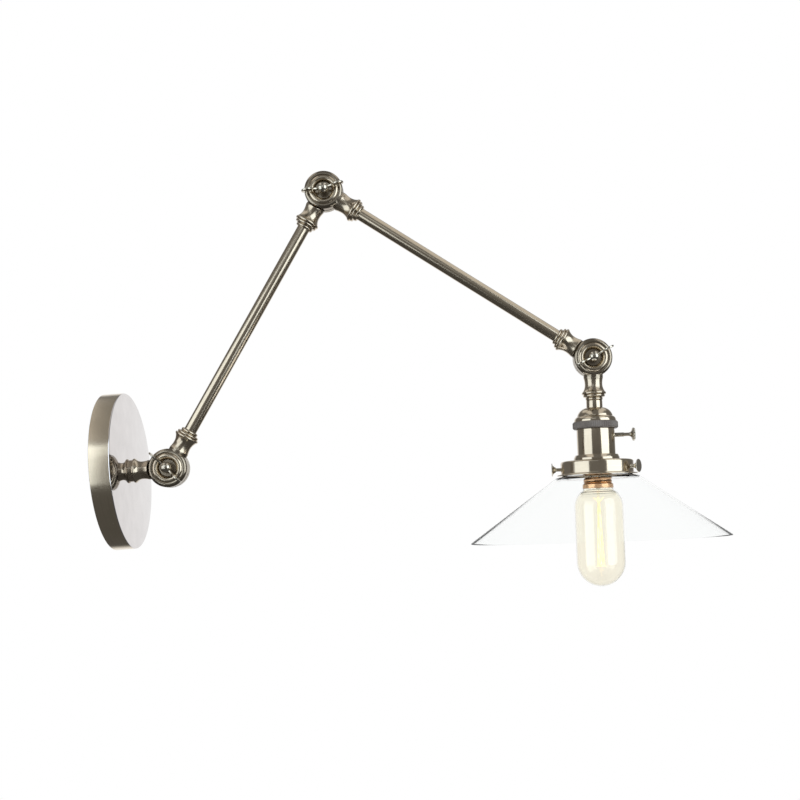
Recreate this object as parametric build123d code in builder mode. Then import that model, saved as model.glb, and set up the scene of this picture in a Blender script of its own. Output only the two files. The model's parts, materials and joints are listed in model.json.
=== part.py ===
"""Articulating wall lamp: wall plate, two tube arms on round knuckles, switched holder, glass shade and bulb.

Units are millimetres. The wall is the plane x = 0 and +X points out of it. +Z is up. The wing screws face -Y.
Every turned piece is drawn as a profile of radius against distance along its axis, and revolved.
"""

import os
from math import cos, radians, sin

from build123d import *

os.makedirs("parts", exist_ok=True)

# ---------------------------------------------------------------- pose of the lamp
lower_arm_angle = 57.1  # above the horizontal, seen from the wing screws' side
upper_arm_angle = -36.1
head_angle = -92.0
shoulder_wing_angle = -44.8
elbow_wing_angle = 6.4
head_wing_angle = 26.7
shade_screw_turns = {"right": -34.0, "back": 69.0, "left": 172.0}  # round the head's axis
knob_turn = 0.0

# ---------------------------------------------------------------- wall plate and its fixing
plate_d = 143.0
plate_depth = 18.0
plate_wall = 1.2
plate_corner = 1.0

bracket_thickness = 2.0
bracket_width = 18.0
bracket_standoff = 6.0  # from the wall to the back of the raised middle
bracket_middle = 54.0  # length of the raised middle
bracket_length = 110.0
bracket_bend_r = 1.5
wall_screw_spacing = 80.0
wall_slot_width = 4.5
wall_slot_length = 14.0

nipple_d = 10.0
nipple_bore_d = 8.0
nipple_grip = 10.5  # how far the wall nipple screws into the stub
nipple_tail = 3.5  # how far it stands behind the raised middle
nut_flats = 14.0
nut_thickness = 3.0

earth_screw_d = 4.0
earth_screw_at = 18.0
earth_head_d = 7.6
earth_head_height = 2.4
earth_washer_width = 9.0
earth_washer_thickness = 1.0
terminal_at = -19.0
terminal_length = 28.0
terminal_width = 12.0
terminal_height = 8.0
terminal_poles = 3
terminal_screw_d = 4.2
terminal_well_depth = 5.0
terminal_waist = 1.2

# ---------------------------------------------------------------- knuckles
knuckle_d = 35.5
knuckle_wall_height = 6.2  # straight part of each half's rim
knuckle_rim_height = 9.9
knuckle_rim_width = 3.9
knuckle_groove_width = 0.6
knuckle_groove_depth = 0.6
knuckle_ring_width = 4.6
knuckle_ring_height = 10.5
knuckle_ring_lip = 8.3
knuckle_recess_d = 16.0
knuckle_recess_floor = 6.0
knuckle_chamber_outer_d = 25.0
knuckle_chamber_inner_d = 11.0
knuckle_chamber_depth = 4.4
knuckle_edge = 0.4
washer_thickness = 0.8
washer_outer_d = 33.8
washer_inner_d = 26.8
swing_gap = 0.9  # between a half's rim and the other half's neck

neck_root_d = 18.0
neck_waist_d = 16.3
neck_waist_at = 6.6  # beyond the knuckle's rim
neck_length = 16.2
bead_d = 22.5
bead_foot_d = 21.2
bead_width = 2.4
flex_d = 5.0
wire_way_d = 3.8  # slanting way from the neck into the wire chamber, drawn parallel to the neck
wire_way_height = 2.4

stub_length = 34.5  # from the plate's face to the shoulder pivot
stub_foot = 2.3
stub_foot_d = 20.0

# ---------------------------------------------------------------- wing screws
wing_screw_d = 5.0
screw_play = 0.05
swing_bore_play = 0.25
wing_hub_d = 10.0
wing_hub_height = 8.0  # straight part above its seat
wing_hub_dome = 4.0
wing_seat_gap = 0.1
wing_span = 39.4
wing_ear_r = 5.3
wing_thickness = 1.7
wing_lift = 0.8  # above the knuckle's ring
wing_root_height = 4.4
wing_ear_turn = 150.0  # where the ear's outline leaves its circle for the dip
wing_screw_tail = 1.0
knuckle_nut_flats = 8.0
knuckle_nut_thickness = 4.0

# ---------------------------------------------------------------- arms
arm_length = 294.0  # pivot to pivot
tube_d = 11.5
tube_wall = 1.0
socket_depth = 6.9
collar_length = 5.7
collar_bead_d = 20.2
collar_bead_foot_d = 19.0
collar_bead_width = 2.2
collar_neck_d = 15.2
collar_tip_d = 13.8
collar_tip_bead_d = 15.8
collar_tip_width = 2.3
collar_face = 0.2

# ---------------------------------------------------------------- head: distances run from the head pivot
coupler_length = 6.8
coupler_d = 15.0
cap_wall = 1.0
cap_top_d = 18.0
cap_dome_d = 33.2
cap_dome_height = 8.0
cap_flange_d = 38.8
cap_flange_step = 1.2
cap_flange_height = 4.9
cap_flange_lip = 0.8
insulating_ring_d = 42.0
insulating_ring_height = 6.5
barrel_d = 35.2
barrel_wall = 0.9
barrel_height = 24.4
shade_ring_d = 42.4
shade_ring_top_d = 40.0
shade_ring_height = 5.2
shade_ring_lip = 2.4
skirt_d = 31.2
skirt_height = 17.3
lamp_shell_d = 28.0
lamp_shell_wall = 0.6
lamp_shell_height = 16.5
switch_headroom = 0.7
tongue_rise = 5.3
tongue_width = 6.0
tongue_reach = 8.0
tongue_thickness = 0.5

gallery_d = 67.5
gallery_height = 13.4
gallery_wall = 1.0
gallery_corner = 2.0
gallery_rim_d = 74.6  # flared rim round the mouth
gallery_rim_thickness = 1.0
gallery_rim_flare = 1.2
gallery_nut_d = 40.0
gallery_nut_height = 4.0
shade_screw_below = 7.0  # below the gallery's top
shade_screw_d = 3.5
shade_screw_root_d = 5.0
shade_screw_head_at = 38.2
shade_screw_head_d = 12.2
shade_screw_head_depth = 3.1  # of the conical underside
shade_screw_edge = 0.6
shade_screw_dome = 0.3
shade_screw_tip_gap = 0.05

knob_at = 12.7  # below the insulating ring's top
knob_spindle_d = 3.0
knob_spindle_end = 6.0
knob_hole_play = 0.3
knob_collar_d = 3.9
knob_collar_length = 9.5
knob_stem_d = 3.2
knob_stem_length = 4.4
knob_flare_d = 8.4
knob_flare_length = 2.8
knob_head_d = 12.0
knob_head_thickness = 2.8
knob_head_bevel = 0.8
knob_head_edge = 0.3
knob_dome = 0.4

# ---------------------------------------------------------------- glass shade
shade_d = 240.0
shade_drop = 71.6  # from the gallery's top to the rim
shade_wall = 3.0
shade_neck_d = 62.0
shade_neck_height = 13.8
shade_shoulder_d = 76.0
shade_shoulder_drop = 1.6
shade_neck_fillet = 2.2
shade_shoulder_fillet = 3.2
shade_lip_d = 64.4
shade_lip_height = 4.0
shade_lip_taper = 1.2

# ---------------------------------------------------------------- tubular bulb
bulb_d = 44.8
bulb_length = 116.0
bulb_wall = 1.0
bulb_cap_d = 26.4
bulb_cap_height = 20.0
bulb_cap_wall = 0.8
bulb_cap_play = 0.2
bulb_shoulder_length = 22.0
bulb_neck_grip = 7.0
bulb_pip_d = 9.0
bulb_pip_height = 1.6
bulb_insulator_height = 3.9
stem_flare_length = 9.0
stem_d = 3.2
stem_length = 30.0
stem_button_d = 5.2
stem_button_height = 2.4
filament_strands = 8
filament_d = 0.6
filament_top_d = 3.2
filament_bottom_d = 7.6
filament_length = 47.0

# ---------------------------------------------------------------- worked-out radii and stations
knuckle_r = knuckle_d / 2
half_gap = washer_thickness / 2
neck_start = knuckle_r - knuckle_rim_width + knuckle_edge
neck_end = knuckle_r + neck_length
socket_end = neck_end - socket_depth
nipple_socket_end = neck_end - nipple_grip
flex_r = flex_d / 2
flex_start = knuckle_r + swing_gap  # the flex stops short of the other half's rim
chamber_edge = knuckle_chamber_outer_d / 2 - knuckle_edge
nipple_r = nipple_d / 2
hub_seat = knuckle_recess_floor + wing_seat_gap
hub_top = hub_seat + wing_hub_height

shoulder = Vector(plate_depth + stub_length, 0, 0)
towards_wings = Vector(0, -1, 0)


def along(angle):
    """Unit vector at an angle above the horizontal, in the plane of the arms."""
    return Vector(cos(radians(angle)), 0, sin(radians(angle)))


elbow = shoulder + along(lower_arm_angle) * arm_length
head_pivot = elbow + along(upper_arm_angle) * arm_length

# Stations down the head's axis
collar_end = neck_end + collar_length
coupler_end = collar_end + coupler_length
dome_end = coupler_end + cap_dome_height
flange_end = dome_end + cap_flange_height
ring_end = flange_end + insulating_ring_height
barrel_end = ring_end + barrel_height
gallery_top = barrel_end + shade_ring_height
gallery_end = gallery_top + gallery_height
shade_end = gallery_top + shade_drop
knob_station = flange_end + knob_at
shade_screw_station = gallery_top + shade_screw_below
barrel_inner_r = barrel_d / 2 - barrel_wall
contact_station = barrel_end + tongue_rise
bulb_end = contact_station + bulb_length
insulator_start = contact_station + bulb_pip_height
bulb_cap_start = insulator_start + bulb_insulator_height
bulb_cap_end = bulb_cap_start + bulb_cap_height
bulb_cap_inner_r = bulb_cap_d / 2 - bulb_cap_wall


# ---------------------------------------------------------------- planes and shared profiles
def turning_plane(origin, axis_dir, radius_dir):
    """Sketch plane for a turned piece: local x is the radius and local y runs along the axis."""
    return Plane(origin=origin, x_dir=radius_dir, z_dir=Vector(radius_dir).cross(Vector(axis_dir)))


def turn(plane, mode=Mode.ADD):
    """Revolve the waiting profile about its turning plane's axis."""
    revolve(axis=Axis(plane.origin, plane.y_dir), mode=mode)


def across(plane, station):
    """Plane square to a turning plane's axis, at a distance along it."""
    return Plane(origin=plane.origin + plane.y_dir * station, x_dir=plane.x_dir, z_dir=plane.y_dir)


def band(inner_r, outer_r, start, end):
    """Rectangle of a turned sleeve: two radii and two stations."""
    with Locations((inner_r, start)):
        Rectangle(outer_r - inner_r, end - start, align=(Align.MIN, Align.MIN))


def finish(piece, name):
    """Label a finished piece and write it."""
    piece.part.label = name
    export_step(piece.part, f"parts/{name}.step")


def member(pivot, angle):
    """Turning plane of a member that leaves a pivot at an angle; its radius lies in the plane of the arms."""
    return turning_plane(pivot, along(angle), along(angle + 90))


stub_axis = member(shoulder, 180)
lower_start = member(shoulder, lower_arm_angle)
lower_finish = member(elbow, lower_arm_angle + 180)
upper_start = member(elbow, upper_arm_angle)
upper_finish = member(head_pivot, upper_arm_angle + 180)
head_axis = member(head_pivot, head_angle)
plate_axis = turning_plane((0, 0, 0), (1, 0, 0), (0, 0, 1))


# ---------------------------------------------------------------- makers of the repeated pieces
def knuckle_profile(bore_r):
    """Half a knuckle, as radius against height from the mid-plane, with the wire chamber and the turned face."""
    groove_r = knuckle_r - knuckle_rim_width
    ring_r = groove_r - knuckle_groove_width
    recess_r = knuckle_recess_d / 2
    groove_floor = knuckle_rim_height - knuckle_groove_depth
    ring_crest = (ring_r - knuckle_ring_width / 2, knuckle_ring_height)
    rim_top = (groove_r, knuckle_rim_height)
    ring_start = (ring_r, groove_floor)
    ring_stop = (recess_r + knuckle_groove_width, knuckle_ring_lip)
    with BuildLine() as profile:
        Polyline(
            (bore_r, knuckle_recess_floor),
            (bore_r, half_gap),
            (knuckle_chamber_inner_d / 2, half_gap),
            (knuckle_chamber_inner_d / 2, knuckle_chamber_depth),
            (knuckle_chamber_outer_d / 2, knuckle_chamber_depth),
            (knuckle_chamber_outer_d / 2, half_gap),
            (knuckle_r - knuckle_edge, half_gap),
            (knuckle_r, half_gap + knuckle_edge),
            (knuckle_r, knuckle_wall_height),
        )
        TangentArc((knuckle_r, knuckle_wall_height), rim_top, tangent=(0, 1))
        Polyline(rim_top, (groove_r, groove_floor), ring_start)
        ThreePointArc(ring_start, ring_crest, ring_stop)
        Polyline(ring_stop, (recess_r, knuckle_recess_floor), (bore_r, knuckle_recess_floor))
    return profile.edges()


def neck_profile(bead_end, foot):
    """Cast neck from inside the knuckle to its bead, and a plain foot beyond the bead where it has one."""
    waist = (neck_waist_d / 2, knuckle_r + neck_waist_at)
    root = (neck_root_d / 2, knuckle_r + swing_gap)
    bead_start = (bead_foot_d / 2, bead_end - bead_width)
    bead_stop = (bead_foot_d / 2, bead_end)
    with BuildLine() as profile:
        Polyline((0, neck_start), (neck_root_d / 2, neck_start), root)
        TangentArc(waist, root, tangent=(0, -1))
        TangentArc(waist, bead_start, tangent=(0, 1))
        ThreePointArc(bead_start, (bead_d / 2, bead_end - bead_width / 2), bead_stop)
        if foot:
            foot_r = stub_foot_d / 2
            Polyline(bead_stop, (foot_r, bead_end), (foot_r, bead_end + foot), (0, bead_end + foot), (0, neck_start))
        else:
            Polyline(bead_stop, (0, bead_end), (0, neck_start))
    return profile.edges()


def make_knuckle_end(axis, side, bore_r, bead_end, foot, socket_r, socket_floor):
    """Casting of a neck and half a knuckle. side is 1 for the half that faces the wing screw, -1 for the other."""
    outwards = towards_wings * side
    half_axis = turning_plane(axis.origin, outwards, axis.y_dir)
    with BuildPart() as casting:
        with BuildSketch(axis):
            make_face(neck_profile(bead_end, foot))
        turn(axis)
        # the other half swings here
        with BuildSketch(across(half_axis, half_gap)):
            Circle(knuckle_r + swing_gap)
        extrude(amount=-neck_root_d, mode=Mode.SUBTRACT)
        with BuildSketch(half_axis):
            make_face(knuckle_profile(bore_r))
        turn(half_axis)
        # socket for the tube or nipple, then the ways for the flex and for its wires
        with BuildSketch(axis):
            band(0, socket_r, socket_floor, bead_end + foot)
            band(0, flex_r, flex_start, socket_floor)
        turn(axis, mode=Mode.SUBTRACT)
        way_start = axis.origin + axis.y_dir * chamber_edge + outwards * wire_way_height
        with BuildSketch(Plane(origin=way_start, x_dir=axis.x_dir, z_dir=axis.y_dir)):
            Circle(wire_way_d / 2)
        extrude(amount=flex_start + wire_way_d - chamber_edge, mode=Mode.SUBTRACT)
    return casting


def make_collar(axis, bore_r):
    """Stepped ring on the tube, with a large and a small bead."""
    bead_start = (collar_bead_foot_d / 2, neck_end + collar_face)
    bead_stop = (collar_bead_foot_d / 2, neck_end + collar_face + collar_bead_width)
    bead_top = (collar_bead_d / 2, neck_end + collar_face + collar_bead_width / 2)
    tip_start = (collar_neck_d / 2, collar_end - collar_tip_width)
    tip_top = (collar_tip_bead_d / 2, collar_end - collar_tip_width / 2)
    tip_stop = (collar_tip_d / 2, collar_end)
    with BuildPart() as collar:
        with BuildSketch(axis):
            with BuildLine():
                Polyline((bore_r, neck_end), (collar_bead_foot_d / 2, neck_end), bead_start)
                ThreePointArc(bead_start, bead_top, bead_stop)
                Line(bead_stop, tip_start)
                ThreePointArc(tip_start, tip_top, tip_stop)
                Polyline(tip_stop, (bore_r, collar_end), (bore_r, neck_end))
            make_face()
        turn(axis)
    return collar


def make_sleeve(axis, inner_r, outer_r, start, end):
    """Plain turned sleeve or rod."""
    with BuildPart() as sleeve:
        with BuildSketch(axis):
            band(inner_r, outer_r, start, end)
        turn(axis)
    return sleeve


def make_nuts(axis, starts, flats, thickness, bore_r):
    """Hexagon nuts on one axis, each from its own station."""
    with BuildPart() as nuts:
        for start in starts:
            with BuildSketch(across(axis, start)):
                RegularPolygon(radius=flats / 2, side_count=6, major_radius=False)
                Circle(bore_r, mode=Mode.SUBTRACT)
            extrude(amount=thickness)
    return nuts


def make_wing_screw(pivot, wing_angle):
    """Screw of a knuckle: threaded shank, domed hub and two flat wings."""
    plane = turning_plane(pivot, towards_wings, along(wing_angle))
    shank_r = wing_screw_d / 2 - screw_play
    shank_end = -(knuckle_recess_floor + knuckle_nut_thickness + wing_screw_tail)
    hub_r = wing_hub_d / 2
    wing_foot = knuckle_ring_height + wing_lift
    ear = (wing_span / 2 - wing_ear_r, wing_foot + wing_ear_r)
    ear_leave = Vector(cos(radians(wing_ear_turn)), sin(radians(wing_ear_turn)))
    ear_inner = (ear[0] + wing_ear_r * ear_leave.X, ear[1] + wing_ear_r * ear_leave.Y)
    saddle = (hub_r, wing_foot + wing_root_height)
    with BuildPart() as screw:
        with BuildSketch(plane):
            with BuildLine():
                Polyline((0, shank_end), (shank_r, shank_end), (shank_r, hub_seat), (hub_r, hub_seat), (hub_r, hub_top))
                TangentArc((0, hub_top + wing_hub_dome), (hub_r, hub_top), tangent=(1, 0))
                Line((0, hub_top + wing_hub_dome), (0, shank_end))
            make_face()
        turn(plane)
        with BuildSketch(plane):
            with BuildLine():
                Polyline(saddle, (0, saddle[1]), (0, wing_foot), (ear[0], wing_foot))
                ThreePointArc((ear[0], wing_foot), (wing_span / 2, ear[1]), ear_inner)
                TangentArc(ear_inner, saddle, tangent=(-ear_leave.Y, ear_leave.X))
            make_face()
            mirror(about=Plane.YZ)
        extrude(amount=wing_thickness / 2, both=True)
    return screw


def make_arm(body, start_axis, finish_axis, start_name, finish_name):
    """One arm: two knuckle ends, two collars, the tube and its flex."""
    socket_r = tube_d / 2
    bore = wing_screw_d / 2
    swing_bore = bore + swing_bore_play
    finish(make_knuckle_end(start_axis, 1, swing_bore, neck_end, 0, socket_r, socket_end), f"{body}_{start_name}_end")
    finish(make_knuckle_end(finish_axis, -1, bore, neck_end, 0, socket_r, socket_end), f"{body}_{finish_name}_end")
    finish(make_collar(start_axis, socket_r), f"{body}_inner_collar")
    finish(make_collar(finish_axis, socket_r), f"{body}_outer_collar")
    tube_end = arm_length - socket_end
    finish(make_sleeve(start_axis, socket_r - tube_wall, socket_r, socket_end, tube_end), f"{body}_tube")
    finish(make_sleeve(start_axis, 0, flex_r, flex_start, arm_length - flex_start), f"{body}_flex")


# ---------------------------------------------------------------- wall bracket, nipple and terminals
bracket_front = bracket_standoff + bracket_thickness
half_middle = bracket_middle / 2
with BuildPart() as wall_bracket:
    with BuildSketch(Plane.XZ):
        with BuildLine() as hat:
            FilletPolyline(
                (bracket_thickness / 2, (bracket_thickness - bracket_length) / 2),
                (bracket_thickness / 2, -half_middle - bracket_thickness),
                (bracket_standoff + bracket_thickness / 2, -half_middle),
                (bracket_standoff + bracket_thickness / 2, half_middle),
                (bracket_thickness / 2, half_middle + bracket_thickness),
                (bracket_thickness / 2, (bracket_length - bracket_thickness) / 2),
                radius=bracket_bend_r,
            )
            offset(amount=bracket_thickness / 2, side=Side.BOTH)
        make_face()
    extrude(amount=bracket_width / 2, both=True)
    with BuildSketch(Plane.YZ):
        with Locations((0, wall_screw_spacing / 2), (0, -wall_screw_spacing / 2)):
            SlotOverall(wall_slot_length, wall_slot_width, rotation=90)
        Circle(nipple_r)
        with Locations((0, earth_screw_at)):
            Circle(earth_screw_d / 2)
    extrude(amount=bracket_front + bracket_thickness, mode=Mode.SUBTRACT)
finish(wall_bracket, "wall_bracket")

nipple_start = bracket_standoff - nipple_tail
nipple_stop = plate_depth + nipple_grip
finish(make_sleeve(plate_axis, nipple_bore_d / 2, nipple_r, nipple_start, nipple_stop), "wall_nipple")
nut_starts = (bracket_standoff - nut_thickness, bracket_front, plate_depth - plate_wall - nut_thickness)
finish(make_nuts(plate_axis, nut_starts, nut_flats, nut_thickness, nipple_r), "nipple_nuts")

earth_axis = turning_plane((0, 0, earth_screw_at), (1, 0, 0), (0, 0, 1))
earth_seat = bracket_front + earth_washer_thickness
with BuildPart() as earth_screw:
    with BuildSketch(across(earth_axis, bracket_front)):
        RectangleRounded(earth_washer_width, earth_washer_width, earth_washer_thickness)
    extrude(amount=earth_washer_thickness)
    with BuildSketch(earth_axis):
        band(0, earth_head_d / 2, earth_seat, earth_seat + earth_head_height)
        band(0, earth_screw_d / 2 - screw_play, bracket_standoff - earth_washer_thickness, earth_seat)
    turn(earth_axis)
finish(earth_screw, "earth_screw")

pole_pitch = terminal_length / terminal_poles
with BuildPart() as terminal_block:
    with BuildSketch(Plane.YZ.offset(bracket_front)):
        with Locations((0, terminal_at)):
            Rectangle(terminal_length, terminal_width)
            with GridLocations(pole_pitch, terminal_width, terminal_poles - 1, 2):
                Rectangle(terminal_waist, terminal_waist * 2, mode=Mode.SUBTRACT)
    extrude(amount=terminal_height)
    with BuildSketch(Plane.YZ.offset(bracket_front + terminal_height)):
        with Locations((0, terminal_at)):
            with GridLocations(pole_pitch, terminal_width / 2, terminal_poles, 2):
                Circle(terminal_screw_d / 2)
    extrude(amount=-terminal_well_depth, mode=Mode.SUBTRACT)
finish(terminal_block, "terminal_block")

# ---------------------------------------------------------------- wall plate
plate_r = plate_d / 2
with BuildPart() as back_plate:
    with BuildSketch(plate_axis):
        with BuildLine():
            Polyline(
                (nipple_r, plate_depth - plate_wall),
                (plate_r - plate_wall, plate_depth - plate_wall),
                (plate_r - plate_wall, 0),
                (plate_r, 0),
                (plate_r, plate_depth - plate_corner),
            )
            ThreePointArc(
                (plate_r, plate_depth - plate_corner),
                (plate_r - plate_corner * (1 - cos(radians(45))), plate_depth - plate_corner * (1 - sin(radians(45)))),
                (plate_r - plate_corner, plate_depth),
            )
            Polyline(
                (plate_r - plate_corner, plate_depth),
                (nipple_r, plate_depth),
                (nipple_r, plate_depth - plate_wall),
            )
        make_face()
    turn(plate_axis)
finish(back_plate, "back_plate")

# ---------------------------------------------------------------- stub, arms and head casting
wing_bore_r = wing_screw_d / 2
stub_socket_floor = stub_length - nipple_grip
stub = make_knuckle_end(
    stub_axis, -1, wing_bore_r, stub_length - stub_foot, stub_foot, nipple_r, stub_socket_floor
)
finish(stub, "wall_stub")
finish(make_sleeve(stub_axis, 0, flex_r, flex_start, shoulder.X - nipple_start), "base_flex")

make_arm("lower_arm", lower_start, lower_finish, "shoulder", "elbow")
make_arm("upper_arm", upper_start, upper_finish, "elbow", "head")

head_casting = make_knuckle_end(
    head_axis, 1, wing_bore_r + swing_bore_play, neck_end, 0, nipple_r, nipple_socket_end
)
finish(head_casting, "head_knuckle")

for joint_name, pivot, wing_angle in (
    ("shoulder", shoulder, shoulder_wing_angle),
    ("elbow", elbow, elbow_wing_angle),
    ("head", head_pivot, head_wing_angle),
):
    pivot_axis = turning_plane(pivot, towards_wings, along(wing_angle))
    washer = make_sleeve(pivot_axis, washer_inner_d / 2, washer_outer_d / 2, -half_gap, half_gap)
    finish(washer, f"{joint_name}_washer")
    nut_start = -knuckle_recess_floor - knuckle_nut_thickness
    nut = make_nuts(pivot_axis, (nut_start,), knuckle_nut_flats, knuckle_nut_thickness, wing_bore_r)
    finish(nut, f"{joint_name}_nut")
    finish(make_wing_screw(pivot, wing_angle), f"{joint_name}_wing_screw")

# ---------------------------------------------------------------- coupling between head casting and holder
nipple_foot = coupler_end + cap_wall + nut_thickness
finish(make_collar(head_axis, nipple_r), "head_collar")
finish(make_sleeve(head_axis, nipple_r, coupler_d / 2, collar_end, coupler_end), "head_coupler")
finish(make_sleeve(head_axis, nipple_bore_d / 2, nipple_r, nipple_socket_end, nipple_foot), "head_nipple")
finish(make_nuts(head_axis, (coupler_end + cap_wall,), nut_flats, nut_thickness, nipple_r), "holder_nut")

# ---------------------------------------------------------------- lamp holder
dome_r = cap_dome_d / 2
dome_top_r = cap_top_d / 2
flange_r = cap_flange_d / 2
flange_start = dome_end + cap_flange_step / 2


def dome_shoulder(wall):
    """Point on the cap's dome, 45 degrees round its quarter, drawn in by a wall."""
    reach = dome_r - dome_top_r
    return (
        dome_top_r + reach * sin(radians(45)) - wall * cos(radians(45)),
        coupler_end + cap_dome_height * (1 - cos(radians(45))) + wall * sin(radians(45)),
    )


with BuildPart() as holder_cap:
    with BuildSketch(head_axis):
        with BuildLine():
            Line((nipple_r, coupler_end), (dome_top_r, coupler_end))
            ThreePointArc((dome_top_r, coupler_end), dome_shoulder(0), (dome_r, dome_end))
            Polyline(
                (dome_r, dome_end),
                (dome_r + cap_flange_step, flange_start),
                (flange_r, flange_end - cap_flange_lip),
                (flange_r, flange_end),
                (barrel_inner_r, flange_end),
                (dome_r - cap_wall, flange_start),
                (dome_r - cap_wall, dome_end),
            )
            ThreePointArc(
                (dome_r - cap_wall, dome_end),
                dome_shoulder(cap_wall),
                (dome_top_r, coupler_end + cap_wall),
            )
            Polyline(
                (dome_top_r, coupler_end + cap_wall),
                (nipple_r, coupler_end + cap_wall),
                (nipple_r, coupler_end),
            )
        make_face()
    turn(head_axis)
finish(holder_cap, "holder_cap")

insulating_ring = make_sleeve(head_axis, barrel_inner_r, insulating_ring_d / 2, flange_end, ring_end)
finish(insulating_ring, "holder_ring")

knob_dir = along(head_angle + 90) * cos(radians(knob_turn)) - towards_wings * sin(radians(knob_turn))
knob_origin = head_pivot + head_axis.y_dir * knob_station
knob_axis = turning_plane(knob_origin, knob_dir, head_axis.y_dir)

with BuildPart() as holder_barrel:
    with BuildSketch(head_axis):
        band(barrel_inner_r, barrel_d / 2, ring_end, barrel_end)
    turn(head_axis)
    with BuildSketch(across(knob_axis, 0)):
        Circle(knob_collar_d / 2 + knob_hole_play)
    extrude(amount=barrel_d, mode=Mode.SUBTRACT)
finish(holder_barrel, "holder_barrel")

with BuildPart() as switch_body:
    with BuildSketch(head_axis):
        band(0, barrel_inner_r, flange_end + switch_headroom, barrel_end)
    turn(head_axis)
    with BuildSketch(across(knob_axis, knob_spindle_end)):
        Circle(knob_spindle_d / 2)
    extrude(amount=barrel_inner_r, mode=Mode.SUBTRACT)
finish(switch_body, "switch_body")

flex_foot = flange_end + switch_headroom
finish(make_sleeve(head_axis, 0, flex_r, flex_start, flex_foot), "head_flex")

knob_collar_start = barrel_inner_r + screw_play
knob_collar_end = knob_collar_start + knob_collar_length
knob_stem_end = knob_collar_end + knob_stem_length
knob_head_start = knob_stem_end + knob_flare_length
knob_head_end = knob_head_start + knob_head_thickness
with BuildPart() as switch_knob:
    with BuildSketch(knob_axis):
        with BuildLine():
            Polyline(
                (0, knob_spindle_end + screw_play),
                (knob_spindle_d / 2 - screw_play, knob_spindle_end + screw_play),
                (knob_spindle_d / 2 - screw_play, knob_collar_start),
                (knob_collar_d / 2, knob_collar_start),
                (knob_collar_d / 2, knob_collar_end),
                (knob_stem_d / 2, knob_collar_end + knob_head_edge),
                (knob_stem_d / 2, knob_stem_end),
            )
            TangentArc((knob_stem_d / 2, knob_stem_end), (knob_flare_d / 2, knob_head_start), tangent=(0, 1))
            Polyline(
                (knob_flare_d / 2, knob_head_start),
                (knob_head_d / 2, knob_head_start + knob_head_bevel),
                (knob_head_d / 2, knob_head_end - knob_head_edge),
                (knob_head_d / 2 - knob_head_edge, knob_head_end),
            )
            TangentArc(
                (0, knob_head_end + knob_dome), (knob_head_d / 2 - knob_head_edge, knob_head_end), tangent=(1, 0)
            )
            Line((0, knob_head_end + knob_dome), (0, knob_spindle_end + screw_play))
        make_face()
    turn(knob_axis)
finish(switch_knob, "switch_knob")

skirt_r = skirt_d / 2
shade_ring_r = shade_ring_d / 2
with BuildPart() as shade_ring:
    with BuildSketch(head_axis):
        with BuildLine():
            Polyline(
                (skirt_r, barrel_end),
                (shade_ring_top_d / 2, barrel_end),
                (shade_ring_r, gallery_top - shade_ring_lip),
                (shade_ring_r, gallery_top),
                (skirt_r, gallery_top),
                close=True,
            )
        make_face()
    turn(head_axis)
finish(shade_ring, "shade_ring")

shell_r = lamp_shell_d / 2
finish(make_sleeve(head_axis, shell_r, skirt_r, barrel_end, barrel_end + skirt_height), "holder_skirt")
lamp_shell = make_sleeve(head_axis, shell_r - lamp_shell_wall, shell_r, barrel_end, barrel_end + lamp_shell_height)
finish(lamp_shell, "lamp_shell")

with BuildPart() as centre_contact:
    with BuildSketch(head_axis):
        with BuildLine() as tongue:
            FilletPolyline(
                (tongue_reach, barrel_end + tongue_thickness / 2),
                (-tongue_reach / 2, barrel_end + tongue_thickness / 2),
                (0, contact_station - tongue_thickness / 2),
                (tongue_reach / 2, contact_station - tongue_thickness / 2),
                radius=tongue_thickness * 2,
            )
            offset(amount=tongue_thickness / 2, side=Side.BOTH)
        make_face()
    extrude(amount=tongue_width / 2, both=True)
finish(centre_contact, "centre_contact")

# ---------------------------------------------------------------- gallery and its thumb screws
gallery_r = gallery_d / 2
gallery_rim_r = gallery_rim_d / 2
gallery_rim_start = gallery_end - gallery_rim_thickness
gallery_flare_start = gallery_rim_start - gallery_rim_flare


def shade_screw_axis(turned):
    """Turning plane of one thumb screw, square to the head's axis."""
    outwards = along(head_angle + 90) * cos(radians(turned)) - towards_wings * sin(radians(turned))
    origin = head_pivot + head_axis.y_dir * shade_screw_station
    return turning_plane(origin, outwards, head_axis.y_dir)


with BuildPart() as gallery:
    with BuildSketch(head_axis):
        with BuildLine():
            Polyline(
                (skirt_r, gallery_top),
                (gallery_r - gallery_corner, gallery_top),
                (gallery_r, gallery_top + gallery_corner),
                (gallery_r, gallery_flare_start),
            )
            TangentArc(
                (gallery_r, gallery_flare_start), (gallery_r + gallery_rim_flare, gallery_rim_start), tangent=(0, 1)
            )
            Polyline(
                (gallery_r + gallery_rim_flare, gallery_rim_start),
                (gallery_rim_r, gallery_rim_start),
                (gallery_rim_r, gallery_end),
                (gallery_r - gallery_wall, gallery_end),
                (gallery_r - gallery_wall, gallery_top + gallery_corner),
                (gallery_r - gallery_corner - gallery_wall / 2, gallery_top + gallery_wall),
                (skirt_r, gallery_top + gallery_wall),
                (skirt_r, gallery_top),
            )
        make_face()
    turn(head_axis)
    for turned in shade_screw_turns.values():
        with BuildSketch(across(shade_screw_axis(turned), 0)):
            Circle(shade_screw_d / 2 + screw_play)
        extrude(amount=gallery_d, mode=Mode.SUBTRACT)
finish(gallery, "gallery")

gallery_floor = gallery_top + gallery_wall
gallery_nut = make_sleeve(head_axis, skirt_r, gallery_nut_d / 2, gallery_floor, gallery_floor + gallery_nut_height)
finish(gallery_nut, "gallery_nut")

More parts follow.
